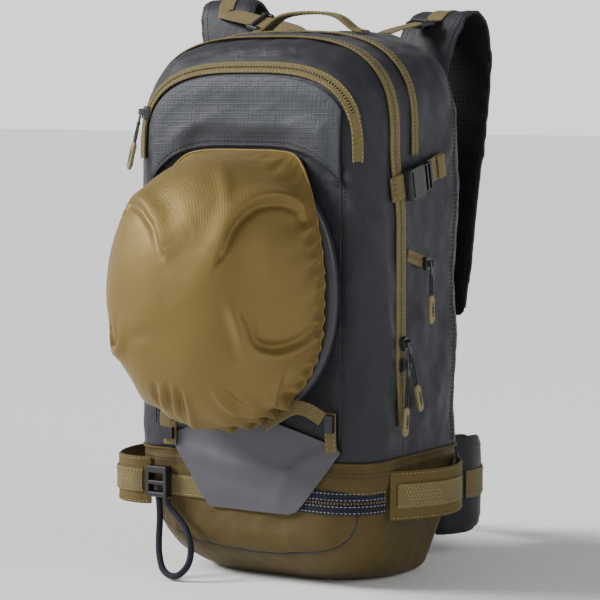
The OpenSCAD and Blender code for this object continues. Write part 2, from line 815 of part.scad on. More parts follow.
// Sliders that stay where they are: the second slider of the main zip and the side pocket's
module fixed_sliders() {
  color("silver") {
    on_main_zip(end_slider_z, end_lean)
      slider();
    translate([side_x, side_zip_y1, side_zip_z - 6])
      slider();
  }
}

module main_zip_slider() {
  color("silver")
    on_main_zip(main_slider_z, pull_lean)
      slider();
}

module main_zip_pull() {
  color("khaki")
    on_main_zip(main_slider_z, pull_lean)
      translate([pin_out, 0, 0])
        pull(76);
}

module end_zip_pull() {
  color("khaki")
    on_main_zip(end_slider_z, end_lean)
      translate([pin_out, 0, 0])
        pull(72);
}

module side_zip_pull() {
  color("khaki")
    translate([side_x + pin_out, side_zip_y1, side_zip_z - 6])
      pull(62);
}

module pocket_zip_slider() {
  color("silver")
    on_pocket_zip()
      slider();
}

module pocket_zip_pull() {
  color("khaki")
    on_pocket_zip()
      translate([pin_out, 0, 0])
        pull(62);
}

// Airbag packed under the top of the main shell
module folded_airbag() {
  ys = [-18, -8, 10, 30, crest_y, back_y - 24];
  ins = [14, 9, 8, 8, 9, 14];
  color("orangered")
    loft([for (i = [0 : len(ys) - 1]) [for (p = body_ring(ys[i], -ins[i], bag_z)) [p[0], p[1],
      max(p[2], bag_z)]]]);
}

// Valve block on the canister's neck with a pivot fork for its lever
module inflator_valve() {
  color("gray")
    translate([canister_x, canister_y, valve_z]) {
      difference() {
        translate([-valve_w / 2, -valve_w / 2, 0])
          cube([valve_w, valve_w, valve_h]);
        translate([0, 0, -1])
          cylinder(h = 16, r = neck_r + gap);
      }
      for (s = [-1, 1])
        translate([s * 7 - 2, -valve_w / 2 - 11, 26])
          cube([4, 12, 12]);
      translate([0, -valve_w / 2 - 7, 32])
        rotate([0, 90, 0])
          cylinder(h = 12, r = 2, center = true);
    }
}

// Short hose from the valve up into the bag
module inflation_hose() {
  color("black")
    translate([canister_x, canister_y, valve_z + valve_h + seat])
      difference() {
        cylinder(h = hose_l - 2 * seat, r = 12);
        translate([0, 0, -1])
          cylinder(h = hose_l + 2, r = 9);
      }
}

// Two plastic saddles that hold the canister to the frame sheet
module canister_cradle() {
  color("black")
    for (z = [30, 130])
      difference() {
        box([canister_x - 12, canister_y + canister_r - 8, canister_z + z],
          [canister_x + 18, sheet_y - seat, canister_z + z + 24]);
        translate([canister_x, canister_y, canister_z + z - 1])
          cylinder(h = 30, r = canister_r + gap);
        box([-stay_x - stay_w / 2 - 1, sheet_y - stay_t - 1, 0], [-stay_x + stay_w / 2 + 1, back_y, body_h]);
      }
}

// Sheathed cable from the lever through the shoulder strap to the trigger
module trigger_cable() {
  color("black")
    strap(spline(cable_route, 3), [0.3, 0.2, 1], 2 * cable_r, 2 * cable_r, cord_section);
}

// Socket on the shoulder strap with a bore for the handle's plug
socket_l = 26;
socket_t = 15;
plug_r = 5;
plug_l = 14;
plug_y = 8;
module trigger_socket() {
  color("black")
    on_trigger()
      difference() {
        translate([-13, 0, -socket_l / 2])
          cube([26, socket_t, socket_l]);
        translate([0, plug_y, -socket_l / 2 - 1])
          cylinder(h = plug_l + 2, r = plug_r + gap);
      }
}

// Pull handle: a plug, a neck and a cross grip
module trigger_handle() {
  grip_z = -socket_l / 2 - 22;
  color("red")
    on_trigger()
      translate([0, plug_y, 0]) {
        translate([0, 0, -socket_l / 2 - 16])
          cylinder(h = plug_l + 16, r = plug_r);
        translate([0, 0, grip_z])
          rotate([0, 90, 0])
            cylinder(h = 74, r = 6.5, center = true);
        for (s = [-1, 1])
          translate([s * 37, 0, grip_z])
            rotate([0, s * 90, 0])
              cylinder(h = 5, r1 = 6.5, r2 = 3);
      }
}

// Lever that pierces the canister when the cable pulls it
module firing_lever() {
  color("silver")
    translate([canister_x, lever_y, lever_z])
      difference() {
        union() {
          rotate([0, 90, 0])
            cylinder(h = 9, r = 5, center = true);
          translate([-3, -5, -30])
            cube([6, 4, 31]);
        }
        rotate([0, 90, 0])
          cylinder(h = 12, r = 2 + gap, center = true);
      }
}

// Gas canister with a domed foot and a neck
module gas_canister() {
  color("lightsteelblue")
    translate([canister_x, canister_y, canister_z])
      rotate_extrude()
        polygon(concat(
          [[0, 0], [canister_r - 8, 0]],
          [for (a = [-60 : 30 : 0]) [canister_r - 8 + 8 * cos(a), 8 + 8 * sin(a)]],
          [for (a = [0 : 30 : 90]) [canister_r - 14 + 14 * cos(a), canister_l - 14 + 14 * sin(a)]],
          [[neck_r, canister_l], [neck_r, canister_l + neck_l], [0, canister_l + neck_l]]
        ));
}

module sternum_female() {
  color("black")
    on_chest()
      buckle_female();
}

module sternum_male() {
  color("black")
    on_chest()
      buckle_male();
}

// Front panel of the main compartment, hollow and open to the back
module front_panel_shell() {
  outer = [for (y = panel_ys) body_ring(y, 0, panel_z0)];
  inner = concat(
    [for (y = panel_ys) if (y > front_y + wall + 1) body_ring(y, -wall, panel_z0 + wall)],
    [body_ring(front_y + wall, -wall, panel_z0 + wall)]
  );
  color("darkslategray")
    cup(outer, inner);
}

// Padded pocket over the upper front with a curved lower hem
module front_pocket() {
  arch = [for (k = [side_steps : side_steps + arch_steps])
    let (p = body_point(k, front_y, -pocket_in, panel_z0)) if (p[2] > hem_at(p[0]) + 1) [p[0], p[2]]];
  half = side_x - edge_r - pocket_in - 0.5;
  hem = [for (i = [0 : 12]) let (x = -half + 2 * half * i / 12) [x, hem_at(x)]];
  color("slategray")
    translate([0, front_y - seat, 0])
      rotate([90, 0, 0])
        linear_extrude(pocket_t)
          polygon(concat(arch, hem));
}

// Zip of the front pocket on the rounded edge of the panel
module pocket_zip() {
  y0 = pocket_zip_y0;
  y1 = pocket_zip_y1;
  color("olive")
    skin_band([
      [y0, pocket_over], [y1, pocket_over], [y1, pocket_over + tape_t],
      [y1 - 2, pocket_over + coil_t], [y0 + 2, pocket_over + coil_t], [y0, pocket_over + tape_t]
    ], [pocket_zip_k : body_steps - pocket_zip_k]);
}

// Front half of the main zip
module main_zip_front() {
  y0 = part_y - gap / 2;
  color("olive")
    skin_band(zip_section(y0, y0 - tape_w, -1), [0 : body_steps], zip_z0);
}

// Khaki tabs: zip garages at the pocket zip's ends and the tabs for the sling's hooks
module front_webbing_tabs() {
  y0 = pocket_zip_y0;
  y1 = pocket_zip_y1;
  over = pocket_over;
  color("tan") {
    both_sides()
      skin_band([[y0, over], [y1, over], [y1, over + web_t], [y0, over + web_t]],
        [pocket_zip_k - 2, pocket_zip_k - 1, pocket_zip_k - 0.05]);
    box([98, flap_y - flap_t - seat - web_t, boot_h + 12], [111, flap_y - flap_t - seat, boot_h + 52]);
    box([-98, flap_y - flap_t - seat - web_t, boot_h + 6], [-82, flap_y - flap_t - seat, boot_h + 30]);
  }
}

// Part of the grey flap that belongs to the front panel
module stow_flap_upper() {
  z0 = fold_z + 1.2;
  color("slategray")
    translate([0, front_y - seat, 0])
      rotate([90, 0, 0])
        linear_extrude(front_y - seat - flap_y + flap_t)
          polygon([[-84, z0], [108, z0], [116, z0 + 9], [112, z0 + 15], [40, sling_z - flare_h - 1.5],
            [-40, sling_z - flare_h - 1.5], [-80, z0 + 18], [-94, z0 + 15]]);
}

// Helmet with its lower edge standing out beyond the sling
module stowed_helmet() {
  outer = concat(
    [dome_ring(flare_x, sling_z, flare_w, flare_h, helmet_b, helmet_y, 0)],
    [dome_ring(flare_x, sling_z, flare_w, flare_h, helmet_b, rim_y + 5, 0)],
    [for (s = dome_s) dome_ring(sling_x, sling_z, helmet_w, helmet_h - 2, helmet_b, rim_y, s)]
  );
  inner = concat(
    [dome_ring(flare_x, sling_z, flare_w - helmet_t, flare_h - helmet_t, helmet_b, helmet_y, 0)],
    [for (s = dome_s)
      dome_ring(sling_x, sling_z, helmet_w - helmet_t, helmet_h - 2 - helmet_t, helmet_b - helmet_t,
        rim_y, s)]
  );
  color("darkslategray")
    cup(outer, inner);
}

// Cloth dome of the sling with the strip and cord it hangs from
module sling_cover() {
  outer = [for (s = dome_s) dome_ring(sling_x, sling_z, sling_w, sling_h, sling_b, rim_y, s)];
  inner = [for (s = dome_s) dome_ring(sling_x, sling_z, sling_w - sling_t, sling_h - sling_t,
    sling_b - sling_t, rim_y, s)];
  color("peru") {
    cup(outer, inner);
    translate([sling_x, hem_y, hem_z])
      rotate([0, 90, 0])
        cylinder(h = 84, r = hem_r, center = true);
    strap([[sling_x, hem_y - hem_r - seat, hem_z - 1.4], [sling_x, rim_y + seat, sling_z + sling_h - 0.4]],
      [1, 0, 0], 60, web_t);
  }
}

// Webbing from the sling's lower corners to its hooks
hook_y = flap_y - flap_t - web_t - 3 * seat;
right_strap = [[72, rim_y - 3, sling_low + 23], [86, rim_y + 0.5, sling_low + 21],
  [99, hook_y - 4.5, boot_h + 46]];
left_strap = [[-88, rim_y - 3, sling_low + 27], [-95, rim_y + 0.5, boot_h + 34],
  [-92, hook_y - 4.5, boot_h + 26]];
module sling_straps() {
  color("tan") {
    strap(right_strap, [0.3, 0, 1], 14, web_t);
    strap(left_strap, [1, 0, 0.2], 14, web_t);
  }
}

// Hooks that lie against the tabs
module sling_hooks() {
  color("silver") {
    box([101, hook_y - 4, boot_h + 32], [110, hook_y, boot_h + 50]);
    box([-97, hook_y - 4, boot_h + 12], [-84, hook_y, boot_h + 24]);
  }
}

// Hip belt wing with a round root on its hinge line
module hip_wing() {
  translate([hinge_x, hinge_y, wing_z - wing_h / 2 + 3])
    cylinder(h = wing_h - 6, r = wing_t / 2);
  strap(wing_route, [0, 0, 1], wing_heights, wing_t, pad_section);
}

module hip_wing_right() {
  color("darkslategray")
    hip_wing();
}

module hip_wing_left() {
  color("darkslategray")
    mirror([1, 0, 0])
      hip_wing();
}

// Belt webbing with the stabiliser tab on the wing's outer face
module belt_webbing() {
  tab = [for (i = [4 : 7])
    wing_route[i] + cross(tangent(wing_route, i), [0, 0, 1]) * (wing_t / 2 + seat + web_t / 2)];
  strap(belt_route, [0, 0, 1], belt_web_w, web_t);
  strap(tab, [0, 0, 1], 22, web_t);
}

module belt_webbing_right() {
  color("tan")
    belt_webbing();
}

module belt_webbing_left() {
  color("tan")
    mirror([1, 0, 0])
      belt_webbing();
}

// Halves of the belt's buckle, unclipped
module belt_buckle_female() {
  color("black")
    difference() {
      box(belt_end + [-8, web_t / 2 + seat, -22], belt_end + [20, web_t / 2 + seat + 11, 22]);
      box(belt_end + [-10, web_t / 2 + seat + 2.5, -17], belt_end + [12, web_t / 2 + seat + 8.5, 17]);
    }
}

module belt_buckle_male() {
  color("black")
    mirror([1, 0, 0]) {
      box(belt_end + [-2, web_t / 2 + seat, -20], belt_end + [20, web_t / 2 + seat + 11, 20]);
      for (s = [-1, 1])
        box(belt_end + [-9, web_t / 2 + seat + 3.5, s * 13 - 2.5],
          belt_end + [-2, web_t / 2 + seat + 7.5, s * 13 + 2.5]);
    }
}

base_boot();
main_shell();
frame_sheet();
frame_stays();
back_pads();
lumbar_pad();
main_zip_rear();
top_zip();
side_pocket_zip();
base_pocket_zip();
stow_flap_lower();
shoulder_strap_right();
shoulder_strap_left();
shoulder_webbing();
strap_locks();
grab_handle();
compression_webbing();
compression_females();
ski_loop_right();
ski_loop_left();
base_webbing();
axe_buckle();
ice_axe_loop();
fixed_sliders();
folded_airbag();
inflator_valve();
inflation_hose();
canister_cradle();
trigger_cable();
trigger_socket();
sternum_female();
front_panel_shell();
front_pocket();
pocket_zip();
main_zip_front();
front_webbing_tabs();
stow_flap_upper();
stowed_helmet();
pocket_zip_slider();
sling_cover();
sling_straps();
sling_hooks();
hip_wing_right();
hip_wing_left();
belt_webbing_right();
belt_webbing_left();
belt_buckle_female();
belt_buckle_male();
main_zip_slider();
main_zip_pull();
end_zip_pull();
pocket_zip_pull();
side_zip_pull();
trigger_handle();
firing_lever();
gas_canister();
compression_male_right();
compression_male_left();
sternum_male();
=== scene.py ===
"""Cloth, webbing and fittings of an avalanche airbag backpack, laid over its fixed frame."""
import json
import math

import bmesh
import bpy
import numpy as np
from bpy.props import FloatProperty, FloatVectorProperty, PointerProperty
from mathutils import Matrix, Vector
from mathutils.bvhtree import BVHTree


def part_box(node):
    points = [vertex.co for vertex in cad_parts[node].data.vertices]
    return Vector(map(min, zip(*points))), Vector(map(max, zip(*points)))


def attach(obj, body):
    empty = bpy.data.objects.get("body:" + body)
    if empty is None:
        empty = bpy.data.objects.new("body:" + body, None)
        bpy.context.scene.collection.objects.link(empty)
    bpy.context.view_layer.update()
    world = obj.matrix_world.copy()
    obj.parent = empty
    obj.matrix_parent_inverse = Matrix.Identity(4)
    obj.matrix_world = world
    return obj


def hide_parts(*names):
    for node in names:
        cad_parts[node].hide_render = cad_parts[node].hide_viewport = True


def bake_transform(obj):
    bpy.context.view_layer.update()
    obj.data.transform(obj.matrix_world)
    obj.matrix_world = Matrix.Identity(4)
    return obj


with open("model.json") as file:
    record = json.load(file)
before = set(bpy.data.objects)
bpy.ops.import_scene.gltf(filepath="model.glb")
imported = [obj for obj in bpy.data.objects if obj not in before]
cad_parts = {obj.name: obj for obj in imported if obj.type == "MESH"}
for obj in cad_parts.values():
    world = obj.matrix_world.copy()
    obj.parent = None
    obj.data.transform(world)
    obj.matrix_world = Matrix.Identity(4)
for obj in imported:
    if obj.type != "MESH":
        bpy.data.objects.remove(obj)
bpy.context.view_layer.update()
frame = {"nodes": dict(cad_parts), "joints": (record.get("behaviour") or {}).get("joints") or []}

bl_info = {
    "name": "Avalanche airbag backpack",
    "version": (1, 0, 0),
    "blender": (4, 5, 0),
    "location": "3D View > Sidebar > Backpack",
    "description": "Cloth, webbing and fittings over the backpack's frame",
    "category": "Add Mesh",
}

# Lengths below are in millimetres, as in the part's source; meshes are scaled to metres.
MM = 0.001
FRONT, BACK = -105.0, 105.0
SIDE = round(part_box("main_shell")[1].x / MM, 1)
CREST_Z = round(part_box("main_shell")[1].z / MM, 1)
CREST_Y = 50.0
EDGE = 38.0
ARCH = 108.0
ARCH_N = 3.0
FRONT_DROP, BACK_DROP = 26.0, 30.0
PART = -42.0
BOOT_H = 132.0
# Bottom edge, taper at the sides and the back, and the toe's reach and height
BOOT_R, BOOT_IN, BOOT_BACK_IN = 10.0, 28.0, 30.0
BOOT_TOE, BOOT_TOE_H = 52.0, 58.0
WEB_T = 1.6
# Middle, half width, half height, reach and rim of the helmet sling
SLING_X, SLING_Z = -5.0, 303.0
SLING_W, SLING_H, SLING_B = 112.0, 137.0, 125.0
RIM_Y = -124.0
# Roundness of the helmet and the sling from rim to tip, and round the rim
DOME_P, RIM_P = 2.45, 2.2
# Length and pressure of the swelling of padded covers
SWELL_FRAMES, SWELL_PRESSURE = 20, 4
# Width and height of a stitch and of a zip coil's turn, in metres
STITCH_SIZE, TOOTH_SIZE = (0.0009, 0.0007), (0.0030, 0.0022)
# A wave texture's scale is this over the spacing of its bands in metres
WAVE = 0.314


def linear(code):
    """Linear RGB of an sRGB hex value."""
    parts = [int(code[i:i + 2], 16) / 255 for i in (0, 2, 4)]
    return tuple(c / 12.92 if c <= 0.04045 else ((c + 0.055) / 1.055) ** 2.4 for c in parts)


def tint(name, description, code):
    """One colour of the pack that a user can change."""
    return FloatVectorProperty(
        name=name, description=description, subtype="COLOR", size=3, min=0, max=1, default=linear(code)
    )


def span(name, description, value, low, high):
    """One size of the pack that a user can change, given in millimetres."""
    return FloatProperty(
        name=name, description=description, unit="LENGTH", subtype="DISTANCE", precision=4,
        default=value * MM, min=low * MM, max=high * MM,
    )


class BackpackColours(bpy.types.PropertyGroup):
    """Colours of the cloths, webbing and fittings."""

    boot: tint("Boot", "Olive cordura of the base boot", "4d3f18")
    shell: tint("Shell", "Charcoal nylon of the body", "26262d")
    panel: tint("Front panel", "Darker nylon around the helmet", "232429")
    ripstop: tint("Pocket", "Slate ripstop of the front pocket", "3d3f44")
    lining: tint("Lining", "Grey lining inside the body", "4a4c50")
    flap: tint("Flap", "Coated grey cloth of the flap", "414047")
    sling: tint("Sling", "Bronze satin of the helmet sling", "705d32")
    khaki: tint("Webbing", "Khaki webbing and zip tape", "756a45")
    canvas: tint("Ski loops", "Ochre canvas of the ski loops", "5b4d26")
    navy: tint("Navy webbing", "Navy boot zip and ice axe loop", "1c1d2c")
    strap: tint("Harness", "Charcoal nylon of the straps and belt", "232429")
    mesh: tint("Mesh", "Black spacer mesh of the pads", "0f0f10")
    plastic: tint("Buckles", "Black acetal of the buckles", "121315")
    metal: tint("Sliders", "Zinc of the zip sliders", "515256")
    helmet: tint("Helmet", "Dark grey shell of the helmet", "26262b")
    airbag: tint("Airbag", "Orange nylon of the folded airbag", "d2541c")
    trigger: tint("Trigger", "Red grip of the trigger", "c23a22")


class BackpackSizes(bpy.types.PropertyGroup):
    """Sizes of the sewn and drawn detail."""

    stitch: span("Stitch", "Length of one stitch with its space", 4.4, 3, 12)
    tooth: span("Zip tooth", "Spacing of the zip coil's turns", 3.4, 2.5, 6)
    wrinkle: span("Wrinkles", "Depth of the wrinkles in the body cloth", 1.5, 0, 4)
    gather: span("Gathers", "Depth of the gathers along the sling's edge", 3.6, 0, 6)
    ripstop: span("Ripstop grid", "Spacing of the ripstop's heavier threads", 4.6, 3, 12)
    pad_swell: span("Pad swell", "How far the padding may swell its cover", 5, 0, 16)
    piping: span("Piping", "Thickness of the piping on padded edges", 3.6, 2, 6)


# Shapes of the body

def spow(v, e):
    """A power that keeps the sign."""
    return np.sign(v) * np.abs(v) ** e


def smooth(v):
    """A soft step from 0 to 1."""
    v = np.clip(v, 0, 1)
    return v * v * (3 - 2 * v)


def unit(v):
    """Directions of length 1."""
    v = np.asarray(v, float)
    return v / (np.linalg.norm(v, axis=-1, keepdims=True) + 1e-12)


def inset_at(d, r):
    """How far a round edge lies in at a distance from its end."""
    return r - np.sqrt(r * r - (r - np.clip(d, 0, r)) ** 2)


def edge_inset(y):
    """How far the body's skin lies in at one depth."""
    return inset_at(np.minimum(y - FRONT, BACK - y), EDGE)


def top_z(y):
    """Height of the body's crest at one depth."""
    front = FRONT_DROP * ((CREST_Y - y) / (CREST_Y - FRONT)) ** 2
    back = BACK_DROP * ((y - CREST_Y) / (BACK - CREST_Y)) ** 2
    return CREST_Z - np.where(y < CREST_Y, front, back)


def skin_z(x, y):
    """Height of the body's top at one place."""
    w, rise = SIDE - edge_inset(y), ARCH - edge_inset(y)
    return top_z(y) - ARCH + rise * (1 - (abs(x) / w) ** ARCH_N) ** (1 / ARCH_N)


def lengths_along(path):
    """Length of a route up to each of its points."""
    return np.r_[0, np.cumsum(np.linalg.norm(np.diff(path, axis=0), axis=1))]


def even(path, count):
    """The same route with evenly spaced points."""
    path = np.asarray(path, float)
    run = lengths_along(path)
    s = np.linspace(0, run[-1], count)
    return np.stack([np.interp(s, run, path[:, i]) for i in range(3)], 1)


def spline(points, steps=10):
    """Smooth route through chosen points."""
    p = np.asarray(points, float)
    out = []
    for i in range(len(p) - 1):
        a, b, c, d = p[max(i - 1, 0)], p[i], p[i + 1], p[min(i + 2, len(p) - 1)]
        for t in np.arange(steps) / steps:
            out.append(0.5 * (2 * b + (c - a) * t + (2 * a - 5 * b + 4 * c - d) * t * t
                              + (3 * b - a - 3 * c + d) * t ** 3))
    return np.array(out + [p[-1]])


def arch(y, out=0.0, z0=BOOT_H, count=220):
    """Even points of the body's skin at one depth, from the right foot over the top to the left foot."""
    a = np.linspace(0, math.pi, 301)
    w, rise = SIDE - edge_inset(y) + out, ARCH - edge_inset(y) + out
    spring = top_z(y) - ARCH
    over = np.stack([w * spow(np.cos(a), 2 / ARCH_N), np.full(a.shape, y),
                     spring + rise * np.sin(a).clip(0) ** (2 / ARCH_N)], 1)
    return even(np.vstack([[w, y, z0], over, [-w, y, z0]]), count)


def zip_lean(p):
    """The main zip wanders forward on its way up, and the cloth beside it follows."""
    p = np.array(p, float)
    shift = 5 * smooth((240 - p[..., 2]) / 70) - 13 * smooth((p[..., 2] - 370) / 80)
    off = p[..., 1] - PART
    reach = np.where(off > 0, 74.0, 46.0)
    p[..., 1] += shift * np.cos(np.clip(np.abs(off) / reach, 0, 1) * math.pi / 2) ** 2
    return p


def panel_y(x, z):
    """Depth of the front panel's face at a place seen from the front."""
    x, z = np.broadcast_arrays(np.asarray(x, float), np.asarray(z, float))
    low, high = np.zeros(x.shape), np.full(x.shape, EDGE)
    for _ in range(36):
        i = (low + high) / 2
        y = FRONT + EDGE - np.sqrt(EDGE ** 2 - (EDGE - i) ** 2)
        up = np.clip(z - top_z(y) + ARCH, 0, None)
        inside = (np.abs(x) / (SIDE - i)) ** ARCH_N + (up / (ARCH - i)) ** ARCH_N < 1
        low, high = np.where(inside, i, low), np.where(inside, high, i)
    return FRONT + EDGE - np.sqrt(EDGE ** 2 - (EDGE - low) ** 2)


def boot_sizes(z):
    """Half width, front, back and corner radii of the boot at one height."""
    f = (1 - np.clip(z / BOOT_H, 0, 1)) ** 1.5
    e = inset_at(z, BOOT_R)
    front = FRONT + 4 * f + BOOT_TOE * (np.clip(BOOT_TOE_H - z, 0, None) / BOOT_TOE_H) ** 2.3
    back = BACK - BOOT_BACK_IN * f - e
    r_back = EDGE - 12 * f
    r_front = min(EDGE + 42 * f, back - front - r_back - 1)
    return SIDE - BOOT_IN * f - e, front, back, r_front, r_back


def boot_ring(z, out=0.0, count=280):
    """Even points round the boot at one height, from the middle of its back."""
    half, front, back, rf, rb = boot_sizes(z)
    half, front, back, rf, rb = half + out, front - out, back + out, rf + out, rb + out
    q = np.linspace(0, math.pi / 2, 24)
    right_back = np.stack([half - rb + rb * np.sin(q), back - rb + rb * np.cos(q)], 1)
    right_front = np.stack([half - rf + rf * np.cos(q), front + rf - rf * np.sin(q)], 1)
    right = np.vstack([[0, back], right_back, right_front, [0, front]])
    left = right[::-1][1:] * [-1, 1]
    ring = np.vstack([right, left])
    ring = even(np.c_[ring, np.full(len(ring), z)], count + 1)
    return ring[:-1]


def boot_y(x, z):
    """Depth of the boot's front at a place seen from the front."""
    half, front, _, rf, _ = boot_sizes(z)
    over = np.clip(abs(x) - half + rf, 0, rf)
    return front + rf - math.sqrt(rf * rf - over * over)


def dome(cx, cz, ax, az, b, y0, s, t):
    """Points of a rounded dome that bulges to the front; s runs from the rim to the tip."""
    k = np.cos(math.pi / 2 * s).clip(0) ** (2 / DOME_P)
    d = b * np.sin(math.pi / 2 * s) ** (2 / DOME_P)
    return np.stack([cx + ax * k * spow(np.cos(t), 2 / RIM_P), y0 - d + 0 * t,
                     cz + az * k * spow(np.sin(t), 2 / RIM_P)], -1)


def on_sling(places):
    """Points of the sling's dome from places seen from the front."""
    x, z = np.array(places, float).T
    out = (np.abs(x - SLING_X) / SLING_W) ** RIM_P + (np.abs(z - SLING_Z) / SLING_H) ** RIM_P
    deep = SLING_B * (1 - out.clip(0, 1) ** (DOME_P / RIM_P)) ** (1 / DOME_P)
    return np.stack([x, RIM_Y - deep, z], 1)


# Folds in cloth

def ripple(p, scale, seed, octaves=3):
    """Even, seeded unevenness of cloth, from about -1 to 1."""
    rng = np.random.default_rng(seed)
    out, part, total = np.zeros(p.shape[:-1]), 1.0, 0.0
    for _ in range(octaves):
        for _ in range(5):
            way = unit(rng.normal(size=3)) * 2 * math.pi / (scale * (0.7 + 0.6 * rng.random()))
            out += part * np.sin(p @ way + rng.random() * 6.28)
        total += part * 2.2
        part, scale = part * 0.5, scale * 0.52
    return out / total


def nearest(flat, route):
    """Distance from each point to a route, and the place of the route's point that is nearest."""
    near = np.full(len(flat), 1e9)
    at = np.zeros(len(flat), int)
    for i, q in enumerate(route):
        d = np.linalg.norm(flat - q, axis=1)
        closer = d < near
        near[closer], at[closer] = d[closer], i
    return near, at


def fold(p, route, width, height):
    """A ridge (or a dip, where height is negative) along a route, fading out at its ends."""
    route = even(spline(route, 8), 60)
    near, at = nearest(p.reshape(-1, 3), route)
    where = at / (len(route) - 1)
    rise = np.exp(-(near / width) ** 2) * np.sin(math.pi * (0.06 + 0.88 * where)) ** 0.7
    return height * rise.reshape(p.shape[:-1])


def add_folds(puff, p, rows):
    """Adds folds, each given by its route, width and height."""
    for route, width, height in rows:
        puff = puff + fold(p, route, width, height)
    return puff


def lap(p, away, route, reach, height):
    """A fold that laps over: a long slope on the left of its route, a steep drop with a dip on the right."""
    route = even(spline(route, 8), 80)
    way = unit(np.gradient(route, axis=0))
    flat, face = p.reshape(-1, 3), away.reshape(-1, 3)
    near, at = nearest(flat, route)
    where = at / (len(route) - 1)
    side = np.sum(np.cross(face, way[at]) * (flat - route[at]), -1)
    slope = np.exp(-(near / reach) ** 2)
    drop = np.exp(-(near / 2.6) ** 2) - 0.55 * np.exp(-((near - 6) / 5) ** 2)
    rise = np.where(side > 0, slope, drop) * np.sin(math.pi * (0.05 + 0.9 * where)) ** 0.6
    return height * rise.reshape(p.shape[:-1])


def settle(path, before, after):
    """Moves a seam with the cloth that it is sewn on."""
    flat, move = before.reshape(-1, 3), (after - before).reshape(-1, 3)
    out = []
    for q in np.asarray(path, float):
        d = np.linalg.norm(flat - q, axis=1)
        near = np.argpartition(d, 4)[:4]
        weight = 1 / (d[near, None] + 0.3)
        out.append(q + (move[near] * weight).sum(0) / weight.sum())
    return np.array(out)


def outward(p, wrap, centre):
    """Directions away from the centre, square to a grid of points."""
    du = np.roll(p, -1, 1) - np.roll(p, 1, 1) if wrap else np.gradient(p, axis=1)
    n = unit(np.cross(du, np.gradient(p, axis=0)))
    turn = np.sign(np.median(np.sum(n * (p - np.asarray(centre, float)), -1)))
    return n * turn


# Cutting and joining meshes

